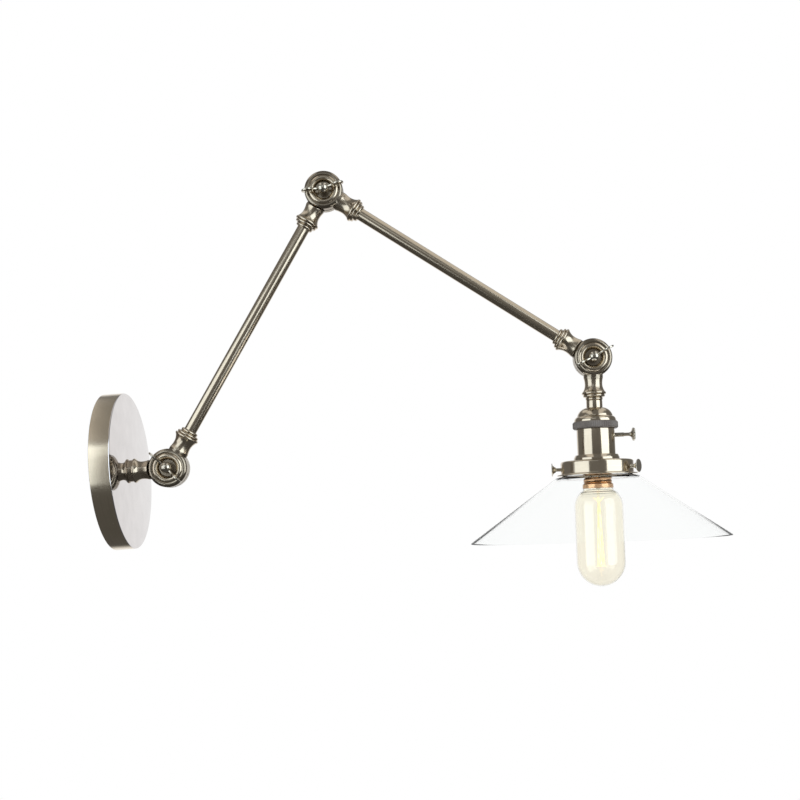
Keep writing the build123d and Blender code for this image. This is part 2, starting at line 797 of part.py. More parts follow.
screw_r = shade_screw_d / 2
screw_head_r = shade_screw_head_d / 2
screw_tip = shade_neck_d / 2 + shade_screw_tip_gap
screw_root_r = shade_screw_root_d / 2
screw_rim = shade_screw_head_at + shade_screw_head_depth
screw_head_end = screw_rim + shade_screw_edge
for place, turned in shade_screw_turns.items():
    screw_axis = shade_screw_axis(turned)
    with BuildPart() as shade_screw:
        with BuildSketch(screw_axis):
            with BuildLine():
                Polyline(
                    (0, screw_tip),
                    (screw_r, screw_tip),
                    (screw_r, shade_screw_head_at),
                    (screw_root_r, shade_screw_head_at),
                    (screw_head_r, screw_rim),
                    (screw_head_r, screw_head_end),
                )
                TangentArc((0, screw_head_end + shade_screw_dome), (screw_head_r, screw_head_end), tangent=(1, 0))
                Line((0, screw_head_end + shade_screw_dome), (0, screw_tip))
            make_face()
        turn(screw_axis)
    finish(shade_screw, f"shade_screw_{place}")

# ---------------------------------------------------------------- glass shade
shade_neck_r = shade_neck_d / 2
shade_lip_r = shade_lip_d / 2
shade_corner = gallery_floor + shade_neck_height
with BuildPart() as glass_shade:
    with BuildSketch(head_axis):
        with BuildLine() as glass_line:
            FilletPolyline(
                (shade_neck_r - shade_wall / 2, gallery_floor + shade_wall / 2),
                (shade_neck_r - shade_wall / 2, shade_corner),
                (shade_shoulder_d / 2, shade_corner + shade_shoulder_drop),
                (shade_d / 2 - shade_wall / 2, shade_end - shade_wall / 2),
                radius=[shade_neck_fillet, shade_shoulder_fillet],
            )
            offset(amount=shade_wall / 2, side=Side.BOTH)
        make_face()
        with BuildLine():
            Polyline(
                (shade_neck_r - shade_wall, gallery_floor + shade_lip_taper),
                (shade_neck_r - shade_wall / 2, gallery_floor),
                (shade_lip_r - shade_lip_taper, gallery_floor),
                (shade_lip_r, gallery_floor + shade_lip_taper),
                (shade_lip_r, gallery_floor + shade_lip_height - shade_lip_taper),
                (shade_neck_r, gallery_floor + shade_lip_height),
                (shade_neck_r - shade_wall, gallery_floor + shade_lip_height),
                close=True,
            )
        make_face()
    turn(head_axis)
finish(glass_shade, "glass_shade")

# ---------------------------------------------------------------- bulb
pip_r = bulb_pip_d / 2
cap_r = bulb_cap_d / 2
with BuildPart() as bulb_contact:
    with BuildSketch(head_axis):
        with BuildLine():
            Line((0, contact_station), (0, insulator_start))
            Line((0, insulator_start), (pip_r, insulator_start))
            TangentArc((0, contact_station), (pip_r, insulator_start), tangent=(1, 0))
        make_face()
    turn(head_axis)
finish(bulb_contact, "bulb_contact")

with BuildPart() as bulb_insulator:
    with BuildSketch(head_axis):
        with BuildLine():
            Polyline(
                (0, insulator_start),
                (pip_r, insulator_start),
                (cap_r - bulb_cap_wall * 2, bulb_cap_start),
                (0, bulb_cap_start),
                close=True,
            )
        make_face()
    turn(head_axis)
finish(bulb_insulator, "bulb_insulator")

with BuildPart() as bulb_cap:
    with BuildSketch(head_axis):
        with BuildLine():
            Polyline(
                (0, bulb_cap_start),
                (cap_r - bulb_cap_wall * 2, bulb_cap_start),
                (cap_r, bulb_cap_start + bulb_cap_wall * 2),
                (cap_r, bulb_cap_end),
                (bulb_cap_inner_r, bulb_cap_end),
                (bulb_cap_inner_r, bulb_cap_start + bulb_cap_wall * 2),
                (0, bulb_cap_start + bulb_cap_wall * 2),
                close=True,
            )
        make_face()
    turn(head_axis)
finish(bulb_cap, "bulb_cap")

bulb_r = bulb_d / 2
bulb_neck_start = bulb_cap_end - bulb_neck_grip
shoulder_end = bulb_cap_end + bulb_shoulder_length
bulb_round_start = bulb_end - bulb_r
bulb_inner_r = bulb_r - bulb_wall
neck_inner_r = bulb_cap_inner_r - bulb_wall
with BuildPart() as bulb_glass:
    with BuildSketch(head_axis):
        with BuildLine():
            Line((bulb_cap_inner_r, bulb_neck_start), (bulb_cap_inner_r, bulb_cap_end))
            TangentArc((bulb_r, shoulder_end), (bulb_cap_inner_r, bulb_cap_end), tangent=(0, -1))
            Line((bulb_r, shoulder_end), (bulb_r, bulb_round_start))
            TangentArc((bulb_r, bulb_round_start), (0, bulb_end), tangent=(0, 1))
            Line((0, bulb_end), (0, bulb_end - bulb_wall))
            TangentArc((bulb_inner_r, bulb_round_start), (0, bulb_end - bulb_wall), tangent=(0, 1))
            Line((bulb_inner_r, bulb_round_start), (bulb_inner_r, shoulder_end))
            TangentArc((bulb_inner_r, shoulder_end), (neck_inner_r, bulb_cap_end), tangent=(0, -1))
            Polyline(
                (neck_inner_r, bulb_cap_end),
                (neck_inner_r, bulb_neck_start),
                (bulb_cap_inner_r, bulb_neck_start),
            )
        make_face()
    turn(head_axis)
finish(bulb_glass, "bulb_glass")

stem_r = stem_d / 2
stem_end = bulb_neck_start + stem_length
with BuildPart() as bulb_stem:
    with BuildSketch(head_axis):
        with BuildLine():
            Polyline((0, bulb_neck_start), (neck_inner_r, bulb_neck_start), (neck_inner_r, bulb_neck_start + bulb_wall))
            TangentArc(
                (stem_r, bulb_neck_start + stem_flare_length),
                (neck_inner_r, bulb_neck_start + bulb_wall),
                tangent=(0, -1),
            )
            Polyline(
                (stem_r, bulb_neck_start + stem_flare_length),
                (stem_r, stem_end - stem_button_height),
                (stem_button_d / 2, stem_end - stem_button_height),
                (stem_button_d / 2, stem_end),
                (0, stem_end),
                (0, bulb_neck_start),
            )
        make_face()
    turn(head_axis)
finish(bulb_stem, "bulb_stem")

strand_spread = (filament_bottom_d - filament_top_d) / 2
with BuildPart() as filament:
    for count in range(filament_strands):
        turned = 360 * count / filament_strands
        outwards = along(head_angle + 90) * cos(radians(turned)) - towards_wings * sin(radians(turned))
        foot = head_pivot + head_axis.y_dir * stem_end + outwards * (filament_top_d / 2)
        strand_dir = head_axis.y_dir * filament_length + outwards * strand_spread
        with BuildSketch(Plane(origin=foot, z_dir=strand_dir)):
            RegularPolygon(radius=filament_d / 2, side_count=6)
        extrude(amount=strand_dir.length)
finish(filament, "filament")
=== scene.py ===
"""Looks of an articulating wall lamp: aged brass, clear glass and a filament bulb in a pale studio.

The wall is x = 0, +X points out of it, +Z is up and the wing screws face -Y. Outlines are in millimetres,
as radius against distance along a piece's own axis. Objects are in metres.
"""

import json
from math import atan2, cos, pi, radians, sin, tan, tau

import bmesh
import bpy
from bpy.props import FloatProperty, FloatVectorProperty, IntProperty, PointerProperty
from mathutils import Matrix, Vector


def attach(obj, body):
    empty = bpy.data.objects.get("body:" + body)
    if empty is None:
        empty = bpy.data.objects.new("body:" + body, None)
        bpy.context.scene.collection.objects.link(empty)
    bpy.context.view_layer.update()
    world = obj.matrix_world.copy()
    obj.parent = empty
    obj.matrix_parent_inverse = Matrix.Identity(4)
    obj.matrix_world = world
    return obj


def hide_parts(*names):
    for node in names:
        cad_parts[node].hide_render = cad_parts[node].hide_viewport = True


bl_info = {
    "name": "Articulating Wall Lamp",
    "version": (1, 0, 0),
    "blender": (4, 5, 0),
    "location": "3D View > Sidebar > Wall Lamp",
    "description": "Dresses a folding wall lamp in aged brass, clear glass and a glowing filament",
    "category": "Add Mesh",
}

MM = 0.001

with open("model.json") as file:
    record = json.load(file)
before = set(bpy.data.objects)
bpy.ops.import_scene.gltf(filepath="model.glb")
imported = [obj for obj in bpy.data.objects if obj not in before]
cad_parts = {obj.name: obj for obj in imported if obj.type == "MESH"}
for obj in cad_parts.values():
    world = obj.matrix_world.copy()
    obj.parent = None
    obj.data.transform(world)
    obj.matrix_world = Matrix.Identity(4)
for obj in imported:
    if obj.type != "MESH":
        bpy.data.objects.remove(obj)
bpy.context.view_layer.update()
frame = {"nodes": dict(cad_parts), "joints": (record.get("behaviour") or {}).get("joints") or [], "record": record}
joints = {joint["name"]: joint for joint in frame["joints"]}


# ---- centrelines
class Centreline:
    """Line that pieces are turned about: where it starts, where it points, and where local X faces."""

    def __init__(self, start, direction, side):
        self.start = Vector(start)
        self.direction = Vector(direction).normalized()
        side = Vector(side)
        self.side = (side - self.direction * side.dot(self.direction)).normalized()

    def matrix(self):
        """Placement of a piece whose local Z runs along the line."""
        across = self.direction.cross(self.side)
        turned = Matrix((self.side, across, self.direction)).transposed().to_4x4()
        turned.translation = self.start
        return turned


WINGS = Vector(joints["shoulder"]["axis"])
shoulder = Vector(joints["shoulder"]["pos_m"])
elbow = Vector(joints["elbow"]["pos_m"])
head_pivot = Vector(joints["head_tilt"]["pos_m"])


def member(pivot, towards):
    """Centreline of a member that leaves a pivot, with local Y facing the wing screws."""
    direction = (Vector(towards) - pivot).normalized()
    return Centreline(pivot, direction, WINGS.cross(direction))


wall_line = Centreline((0, 0, 0), (1, 0, 0), (0, 0, 1))
stub_line = member(shoulder, (0, 0, 0))
lower_line = member(shoulder, elbow)
lower_end_line = member(elbow, shoulder)
upper_line = member(elbow, head_pivot)
upper_end_line = member(head_pivot, elbow)
head_line = member(head_pivot, joints["back_shade_screw_turn"]["pos_m"])


def screw_line(joint_name):
    """Centreline of the switch knob or of a thumb screw, from the head's axis outwards."""
    joint = joints[joint_name]
    return Centreline(joint["pos_m"], joint["axis"], head_line.direction)


knob_line = screw_line("switch_turn")
thumb_screw_lines = {
    f"shade_screw_{place}": screw_line(f"{place}_shade_screw_turn") for place in ("right", "left", "back")
}

# ---- sizes, in millimetres
PLATE_R = 71.5
PLATE_DEPTH = 18.0
PLATE_WALL = 1.2
PLATE_CORNER = 1.0
STUB_LENGTH = shoulder.x / MM - PLATE_DEPTH
NIPPLE_R = 5.0

KNUCKLE_R = 17.75
KNUCKLE_WALL = 6.2
HALF_GAP = 0.4
SWING_GAP = 0.9
CHAMBER = (5.5, 12.5, 4.4)
RECESS_R = 8.0
RECESS_FLOOR = 6.0
KNUCKLE_RIM_TOP = (KNUCKLE_R - 3.9, 8.9)
KNUCKLE_RING_START = (KNUCKLE_R - 4.2, 8.6)
KNUCKLE_RING_CREST = (KNUCKLE_R - 6.4, 9.9)
KNUCKLE_RING_STOP = (RECESS_R + 0.6, 8.3)
KNUCKLE_RING_FOOT = 7.0
NUT_BORE_R = 2.5
SWING_BORE_R = 2.75
NECK_ROOT_R = 9.0
NECK_WAIST = (8.15, 24.35)
BEAD_R = 11.25
BEAD_FOOT_R = 10.6
BEAD_WIDTH = 2.4
NECK_END = KNUCKLE_R + 16.2
SOCKET_START = NECK_END - 6.9
NIPPLE_SOCKET_START = SOCKET_START - 3
STUB_FOOT_R = 10.0
STUB_FOOT = 2.3

ARM_LENGTH = (elbow - shoulder).length / MM
TUBE_R = 5.75
TUBE_WALL = 1.0
COLLAR_END = NECK_END + 5.7
WING_SCREW_R = 2.45
HUB_R = 5.0
WING_HALF = 0.85

COUPLER_R = 7.5
COUPLER_END = COLLAR_END + 6.8
DOME_R = 16.6
DOME_END = COUPLER_END + 8.0
FLANGE_R = 19.4
CAP_END = DOME_END + 4.9
RIBBED_R = 21.0
RING_END = CAP_END + 6.5
STEM_HOLE_R = 2.25
BARREL_R = 17.6
BARREL_INNER_R = 16.7
BARREL_END = RING_END + 24.4
BEVELLED_R = 21.2
GALLERY_TOP = BARREL_END + 5.2
GALLERY_END = GALLERY_TOP + 13.4
GALLERY_R = 33.75
GALLERY_WALL = 1.0
GALLERY_RIM_R = 37.3
SKIRT_R = 15.6
LOCK_RING_R = 20.0
THUMB_SCREW_R = 1.75
THUMB_HOLE_R = 1.8
THUMB_R = 6.1
KNOB_R = 6.0
SHADE_R = 120.0
SHADE_END = GALLERY_TOP + 73.8
SHADE_WALL = 3.0
SHADE_NECK_R = 31.0
SHADE_LIP_R = 32.2
SHADE_CORNER = GALLERY_TOP + 14.8
CONTACT = BARREL_END + 5.3
BULB_TIP = CONTACT + 116.0


# ---- outlines
def arc_from(start, heading, end, steps=8):
    """Points after start along the arc that leaves it in a heading and reaches end."""
    start, chord = Vector(start), Vector(end) - Vector(start)
    heading = Vector(heading).normalized()
    left = Vector((-heading.y, heading.x))
    lean = chord.dot(left)
    centre = start + left * (chord.length_squared / (2 * lean))
    spoke = start - centre
    sweep = 2 * atan2(lean, chord.dot(heading))
    points = []
    for step in range(1, steps + 1):
        turn = sweep * step / steps
        x = spoke.x * cos(turn) - spoke.y * sin(turn)
        y = spoke.x * sin(turn) + spoke.y * cos(turn)
        points.append((centre.x + x, centre.y + y))
    return points


def arc_via(start, via, end, steps=8):
    """Points after start along the arc through via to end."""
    to_via, to_end = Vector(via) - Vector(start), Vector(end) - Vector(start)
    twice_area = 2 * (to_via.x * to_end.y - to_via.y * to_end.x)
    spoke = Vector((
        (to_via.length_squared * to_end.y - to_end.length_squared * to_via.y) / twice_area,
        (to_end.length_squared * to_via.x - to_via.length_squared * to_end.x) / twice_area,
    ))
    heading = Vector((-spoke.y, spoke.x))
    return arc_from(start, heading if heading.dot(to_via) > 0 else -heading, end, steps)


def eased(corners, steps=4):
    """Outline from corners. (radius, height, ease) rounds that corner to the ease."""
    points = []
    count = len(corners)
    for index, corner in enumerate(corners):
        here = Vector(corner[:2])
        if len(corner) < 3:
            points.append(tuple(here))
            continue
        before = (Vector(corners[index - 1][:2]) - here).normalized()
        after = (Vector(corners[(index + 1) % count][:2]) - here).normalized()
        half = before.angle(after) / 2
        reach = corner[2] / tan(half)
        start = here + before * reach
        points.append(tuple(start))
        points += arc_from(start, -before, here + after * reach, steps)
    return points


def sleeve(inner_r, outer_r, start, end, *ease):
    """Corners of a plain sleeve, or of a rod where inner_r is 0, with the ease of its outer ones."""
    return [(inner_r, start), (outer_r, start, *ease), (outer_r, end, *ease), (inner_r, end)]


# ---- meshes
def turned_bmesh(points, segments, placement=None, radius_at=None):
    """Closed bmesh of an outline turned about local Z.

    radius_at(radius, height, angle) shapes ribs and threads.
    """
    bm = bmesh.new()
    rings = []
    for radius, height in points:
        if radius < 1e-6:
            rings.append([bm.verts.new((0, 0, height * MM))])
            continue
        ring = []
        for step in range(segments):
            angle = tau * step / segments
            reach = radius_at(radius, height, angle) if radius_at else radius
            ring.append(bm.verts.new((reach * cos(angle) * MM, reach * sin(angle) * MM, height * MM)))
        rings.append(ring)
    for ring, following in zip(rings, rings[1:] + rings[:1]):
        if len(ring) == len(following) == 1:
            continue
        count, next_count = len(ring), len(following)
        for step in range(segments):
            onward = (step + 1) % segments
            corners = (
                ring[step % count],
                following[step % next_count],
                following[onward % next_count],
                ring[onward % count],
            )
            bm.faces.new(list(dict.fromkeys(corners)))
    bmesh.ops.recalc_face_normals(bm, faces=bm.faces)
    if placement:
        bmesh.ops.transform(bm, matrix=placement, verts=bm.verts)
    return bm


def smooth_by_angle(mesh, limit=radians(28)):
    """Smooth shading, with the corners sharper than the limit kept crisp."""
    bm = bmesh.new()
    bm.from_mesh(mesh)
    for face in bm.faces:
        face.smooth = True
    for edge in bm.edges:
        edge.smooth = len(edge.link_faces) == 2 and edge.calc_face_angle() < limit
    bm.to_mesh(mesh)
    bm.free()


def new_object(name, data):
    """New object in the scene, at the origin."""
    thing = bpy.data.objects.new(name, data)
    bpy.context.scene.collection.objects.link(thing)
    return thing


def object_from(bm, name):
    """New object with the bmesh's shape. The bmesh is used up."""
    mesh = bpy.data.meshes.new(name)
    bm.to_mesh(mesh)
    bm.free()
    return new_object(name, mesh)


def combine(piece, tool, operation):
    """Union or difference of two closed solids. The tool is used up."""
    modifier = piece.modifiers.new("Combine", "BOOLEAN")
    modifier.operation = operation
    modifier.solver = "EXACT"
    modifier.object = tool
    evaluated = piece.evaluated_get(bpy.context.evaluated_depsgraph_get())
    shape = bpy.data.meshes.new_from_object(evaluated)
    old = piece.data
    piece.modifiers.clear()
    piece.data = shape
    bpy.data.meshes.remove(old)
    tool_mesh = tool.data
    bpy.data.objects.remove(tool)
    bpy.data.meshes.remove(tool_mesh)


def seat(piece, centreline, body, slot, node, *materials):
    """Places a piece on its centreline, on its body, in its finishes, in the stead of a CAD node."""
    piece.data.materials.clear()
    for material in materials:
        piece.data.materials.append(material)
    piece.matrix_world = centreline.matrix()
    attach(piece, body)
    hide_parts(node)


def seat_mesh(piece, *place_and_finish):
    """Seats a meshed piece with its corners crisp and the rest smooth."""
    smooth_by_angle(piece.data)
    seat(piece, *place_and_finish)
    return piece


def turned(name, points, place_and_finish, segments=128, radius_at=None):
    """A turned piece, ready in place."""
    piece = object_from(turned_bmesh(points, segments, radius_at=radius_at), name)
    return seat_mesh(piece, *place_and_finish)


def drill(piece, line, radius, start, end, segments):
    """Bores a round hole through a piece of the head, along another centreline."""
    to_head = head_line.matrix().inverted() @ line.matrix()
    rod = turned_bmesh(sleeve(0, radius, start, end), segments, to_head)
    combine(piece, object_from(rod, "drill"), "DIFFERENCE")


# ---- materials
class NodeLayout:
    """A material or world while its nodes are being laid out."""

    def __init__(self, owner):
        owner.use_nodes = True
        self.tree = owner.node_tree

    def add(self, kind, **settings):
        node = self.tree.nodes.new(kind)
        for name, value in settings.items():
            setattr(node, name, value)
        return node

    def link(self, source, target):
        self.tree.links.new(source, target)

    def spread(self, source, low, high, start=0.3, end=0.7):
        """Source remapped from start..end to low..high."""
        node = self.add("ShaderNodeMapRange")
        for name, value in (("From Min", start), ("From Max", end), ("To Min", low), ("To Max", high)):
            node.inputs[name].default_value = value
        self.link(source, node.inputs["Value"])
        return node.outputs["Result"]

    def chosen(self, choice, first, second):
        """First shader where the choice is 0 and second where it is 1."""
        node = self.add("ShaderNodeMixShader")
        for socket, source in zip(node.inputs, (choice, first, second)):
            self.link(source, socket)
        return node.outputs["Shader"]


class Finish(NodeLayout):
    """A procedural material for metal, glass or moulded pieces."""

    def __init__(self, name):
        self.material = bpy.data.materials.new(name)
        super().__init__(self.material)
        self.shader = self.tree.nodes["Principled BSDF"]
        self.place = self.add("ShaderNodeTexCoord").outputs["Object"]

    def noise(self, stretch, detail=4.0, roughness=0.5):
        """Noise over the piece's own coordinates. stretch is its waves per metre along X, Y and Z."""
        mapping = self.add("ShaderNodeMapping")
        mapping.inputs["Scale"].default_value = stretch
        self.link(self.place, mapping.inputs["Vector"])
        texture = self.add("ShaderNodeTexNoise")
        texture.inputs["Scale"].default_value = 1.0
        texture.inputs["Detail"].default_value = detail
        texture.inputs["Roughness"].default_value = roughness
        self.link(mapping.outputs["Vector"], texture.inputs["Vector"])
        return texture.outputs["Fac"]

    def blend(self, amount, first, second):
        """Colour between two, each a colour or a socket."""
        node = self.add("ShaderNodeMix", data_type="RGBA")
        self.link(amount, node.inputs["Factor"])
        for name, value in (("A", first), ("B", second)):
            socket = next(s for s in node.inputs if s.name == name and s.type == "RGBA")
            if isinstance(value, bpy.types.NodeSocket):
                self.link(value, socket)
            else:
                socket.default_value = (*value[:3], 1.0)
        return next(s for s in node.outputs if s.type == "RGBA")

    def recess(self, reach):
        """1 in the open and falling towards 0 in grooves and corners."""
        node = self.add("ShaderNodeAmbientOcclusion", samples=6, only_local=True)
        node.inputs["Distance"].default_value = reach
        return node.outputs["AO"]

    def bump(self, height, strength, distance):
        """Surface raised by height, up to distance in metres."""
        node = self.add("ShaderNodeBump")
        node.inputs["Strength"].default_value = strength
        node.inputs["Distance"].default_value = distance
        self.link(height, node.inputs["Height"])
        self.link(node.outputs["Normal"], self.shader.inputs["Normal"])

    def brush(self, axis, strength):
        """Fine turning lines about an axis of the piece, which stretch its reflections."""
        cross = self.add("ShaderNodeVectorMath", operation="CROSS_PRODUCT")
        cross.inputs[0].default_value = axis
        self.link(self.place, cross.inputs[1])
        to_world = self.add(
            "ShaderNodeVectorTransform", vector_type="VECTOR", convert_from="OBJECT", convert_to="WORLD"
        )
        self.link(cross.outputs["Vector"], to_world.inputs["Vector"])
        self.link(to_world.outputs["Vector"], self.shader.inputs["Tangent"])
        self.set(Anisotropic=strength, Anisotropic_Rotation=0.25)

    def set(self, **values):
        """Uniform values straight on the shader's sockets."""
        for name, value in values.items():
            self.shader.inputs[name.replace("_", " ")].default_value = value


def aged_brass(name, patina, brass, grain, roughness, streaks, coat, recess, about, brushed):
    """Aged brass, lacquered: its tone drifts over the piece and darkens in grooves narrower than recess.

    grain is the stretch of its streaks, about the axis it was turned or brushed about, if any.
    """
    finish = Finish(name)
    drift = finish.noise((60, 60, 60), detail=3)
    bright = tuple(min(1.0, channel * 1.1) for channel in brass)
    tone = finish.blend(finish.spread(drift, 0, 1), brass, bright)
    if recess:
        tone = finish.blend(finish.spread(finish.recess(recess), 0, 1, 0.15, 0.7), patina, tone)
    lines = finish.noise(grain, detail=2)
    streaked = finish.blend(finish.spread(lines, 0, streaks, 0.45, 0.75), tone, patina)
    finish.link(streaked, finish.shader.inputs["Base Color"])
    finish.link(finish.spread(lines, roughness[0], roughness[1]), finish.shader.inputs["Roughness"])
    finish.set(Metallic=1.0, Coat_Weight=coat, Coat_Roughness=0.04)
    if about:
        finish.brush(about, brushed)
    return finish.material


def plain_metal(name, colour, roughness):
    """Plated or drawn metal with faint mottling."""
    finish = Finish(name)
    mottle = finish.noise((300, 300, 300), detail=4)
    dull = tuple(channel * 0.72 for channel in colour[:3])
    finish.link(finish.blend(finish.spread(mottle, 0, 1), colour, dull), finish.shader.inputs["Base Color"])
    finish.link(finish.spread(mottle, roughness * 0.8, roughness * 1.3), finish.shader.inputs["Roughness"])
    finish.bump(finish.noise((2500, 2500, 2500)), 0.15, 0.00002)
    finish.set(Metallic=1.0)
    return finish.material


def moulded(name, colour, roughness, grain, strength):
    """Moulded, fired or pressed material with a fine skin."""
    finish = Finish(name)
    cloud = finish.noise((90, 90, 90), detail=3)
    light = tuple(min(1.0, channel * 1.35 + 0.004) for channel in colour[:3])
    finish.link(finish.blend(finish.spread(cloud, 0, 1), colour, light), finish.shader.inputs["Base Color"])
    skin = finish.noise((grain, grain, grain), detail=5)
    finish.link(finish.spread(skin, roughness * 0.85, roughness * 1.15), finish.shader.inputs["Roughness"])
    finish.bump(skin, strength, 0.00004)
    return finish.material


def clear_glass(name, tint, ior, waviness):
    """Clear glass with faint waves, which casts only a faint shadow."""
    finish = Finish(name)
    waves = finish.noise((55, 55, 25), detail=2)
    finish.bump(waves, waviness, 0.0004)
    finish.shader.inputs["Base Color"].default_value = (*tint[:3], 1.0)
    finish.set(Transmission_Weight=1.0, IOR=ior, Roughness=0.0)
    clear = finish.add("ShaderNodeBsdfTransparent")
    clear.inputs["Color"].default_value = (*tint[:3], 1.0)
    shadow = finish.add("ShaderNodeLightPath").outputs["Is Shadow Ray"]
    mixed = finish.chosen(shadow, finish.shader.outputs["BSDF"], clear.outputs["BSDF"])
    finish.link(mixed, finish.tree.nodes["Material Output"].inputs["Surface"])
    return finish.material


def glowing_wire(name, colour, strength):
    """Filament wire, hotter in some places than in others."""
    finish = Finish(name)
    heat = finish.noise((400, 400, 150), detail=2)
    ember = (colour[0], colour[1] * 0.55, colour[2] * 0.25)
    glow = finish.blend(finish.spread(heat, 0, 1), colour, ember)
    finish.link(glow, finish.shader.inputs["Base Color"])
    finish.link(glow, finish.shader.inputs["Emission Color"])
    finish.set(Emission_Strength=strength, Roughness=0.5)
    return finish.material


made = {}


def finishes():
    """The lamp's materials, made once from the panel's colours. A CAD slot's own has the slot's name."""
    if made:
        return made
    colours = bpy.context.scene.wall_lamp_finish
    brass = colours.brass
    # The brass at 0.6 brightness: a shaded copy of the same brass, painted shade on the knuckle faces.
    shaded_brass = tuple(channel * 0.6 for channel in brass)
    # The neck's glass: the shade's tint at 0.88, partly for the thicker glass and partly painted shade that
    # darkens the neck.
    neck_tint_with_painted_shade = tuple(channel * 0.88 for channel in colours.glass)
    across, along = (0, 1, 0), (0, 0, 1)
    for key, name, *look in (
        ("brass", "turned", brass, (30, 30, 1800), (0.13, 0.17), 0.05, 0.2, 0.0012, along, 0.7),
        ("tube", "drawn tube", brass, (120, 120, 8), (0.16, 0.19), 0.0, 0.1, None, along, 0.6),
        ("cast", "turned neck", brass, (90, 90, 300), (0.18, 0.21), 0.0, 0.1, None, along, 0.8),
        ("knuckle", "turned knuckle", shaded_brass, (90, 300, 90), (0.2, 0.22), 0.0, 0.1, None, across, 0.6),
        ("ring", "turned ring", brass, (90, 300, 90), (0.2, 0.22), 0.0, 0.1, None, across, 0.6),
        ("screw", "screws", colours.screw, (400, 400, 400), (0.1, 0.16), 0.0, 0.35, 0.0012, None, 0.0),
        ("plate_brass", "polished face", colours.plate, (12, 12, 12), (0.05, 0.07), 0, 0, None, None, 0.0),
        ("rim", "brushed rim", colours.rim, (20, 20, 2400), (0.18, 0.24), 0.15, 0.2, None, along, 0.8),
    ):
        made[key] = aged_brass(f"Aged brass, {name}", colours.patina, *look)
    made["steel"] = plain_metal("Zinc plated steel", colours.steel, 0.34)
    made["contact_brass"] = plain_metal("Drawn contact brass", colours.contact, 0.24)
    for key, name, *look in (
        ("insulator", "Dark moulded resin", 0.46, 2200, 0.2),
        ("ceramic", "Unglazed ceramic", 0.7, 1500, 0.2),
        ("fibre", "Vulcanised fibre", 0.8, 900, 0.5),
        ("flex", "Flex sheath", 0.55, 2200, 0.2),
    ):
        made[key] = moulded(name, getattr(colours, key), *look)
    made["shade_glass"] = clear_glass("Clear pressed glass", colours.glass, 1.035, 0.02)
    made["neck_glass"] = clear_glass("Clear pressed glass, thick neck", neck_tint_with_painted_shade, 1.45, 0.05)
    made["bulb_glass"] = clear_glass("Thin blown glass", colours.bulb_glass, 1.42, 0.03)
    made["filament"] = glowing_wire("Glowing filament", colours.filament, colours.filament_strength)
    return made


# ---- settings
def colour_property(name, description, default):
    return FloatVectorProperty(
        name=name, description=description, default=default, size=3, min=0, max=1, subtype="COLOR"
    )


def length_property(name, description, millimetres):
    return FloatProperty(
        name=name, description=description, default=millimetres * MM, min=0, unit="LENGTH", precision=5
    )


class WallLampFinish(bpy.types.PropertyGroup):
    """Colours of the lamp's materials."""

    brass: colour_property("Brass", "Aged brass of the arms, knuckles and holder", (0.52, 0.44, 0.33))
    screw: colour_property("Screws", "Brass of the wing screws, thumb screws and knob", (0.52, 0.47, 0.38))
    patina: colour_property("Patina", "Dark tone in the grooves of the brass", (0.12, 0.085, 0.045))
    plate: colour_property("Plate", "Polished face of the wall plate", (0.66, 0.63, 0.62))
    rim: colour_property("Rim", "Brushed rim of the wall plate", (0.75, 0.64, 0.48))
    steel: colour_property("Steel", "Plated steel behind the plate", (0.6, 0.6, 0.57))
    contact: colour_property("Contacts", "Brass of the bulb's cap and the contacts", (0.5, 0.31, 0.17))
    insulator: colour_property("Insulator", "Dark resin of the holder's ring", (0.1, 0.085, 0.073))
    ceramic: colour_property("Ceramic", "Switch block and bulb base", (0.78, 0.75, 0.68))
    fibre: colour_property("Fibre", "Washers between the knuckle halves", (0.09, 0.035, 0.02))
    flex: colour_property("Flex", "Sheath of the flex in the tubes", (0.03, 0.027, 0.024))
    glass: colour_property("Glass", "Tint of the shade", (0.985, 0.99, 0.988))
    bulb_glass: colour_property("Bulb glass", "Tint of the bulb", (0.965, 0.94, 0.86))
    filament: colour_property("Filament", "Colour of the glowing wire", (1.0, 0.86, 0.36))
    filament_strength: FloatProperty(
        name="Filament glow", description="Brightness of the filament", default=2.2, min=0, max=200
    )


class WallLampDetail(bpy.types.PropertyGroup):
    """Small forms that are drawn on the CAD model's surfaces."""

    ring_ribs: IntProperty(
        name="Ring ribs", description="Ribs round the insulating ring", default=64, min=12, max=160
    )
    ring_rib_depth: length_property("Rib depth", "Depth of the ring's ribs", 0.55)
    knurls: IntProperty(
        name="Knurls", description="Ridges round the thumb screws", default=32, min=8, max=96
    )
    knurl_depth: length_property("Knurl depth", "Depth of the ridges", 0.3)
    screw_pitch: length_property("Screw pitch", "Pitch of the small screws", 0.7)
    lamp_pitch: length_property("Lamp pitch", "Pitch of the bulb's thread", 3.6)
    wing_bevel: length_property("Wing edge", "Rounding of the wings' edges", 0.45)


class WallLampStudio(bpy.types.PropertyGroup):
    """Camera and light."""

    camera: FloatVectorProperty(
        name="Camera", description="Place of the camera", subtype="TRANSLATION", unit="LENGTH",
        default=(0.2952, -1.0547, -0.0709),
    )
    camera_turn: FloatVectorProperty(
        name="Camera turn", description="Rotation of the camera", subtype="EULER", unit="ROTATION",
        default=(radians(92.206), radians(4.245), radians(-1.104)),
    )
    lens: FloatProperty(name="Lens", description="Focal length", default=51.4, min=10, unit="CAMERA")
    shift: FloatVectorProperty(
        name="Shift", description="Shift of the picture, in frame widths", default=(-0.075, 0.10), size=2
    )
    floor_height: FloatProperty(
        name="Floor", description="Height of the floor from the plate's centre", default=-0.9, unit="LENGTH"
    )
    surround: colour_property("Surround", "Pale surround of the studio", (1.0, 1.0, 1.0))


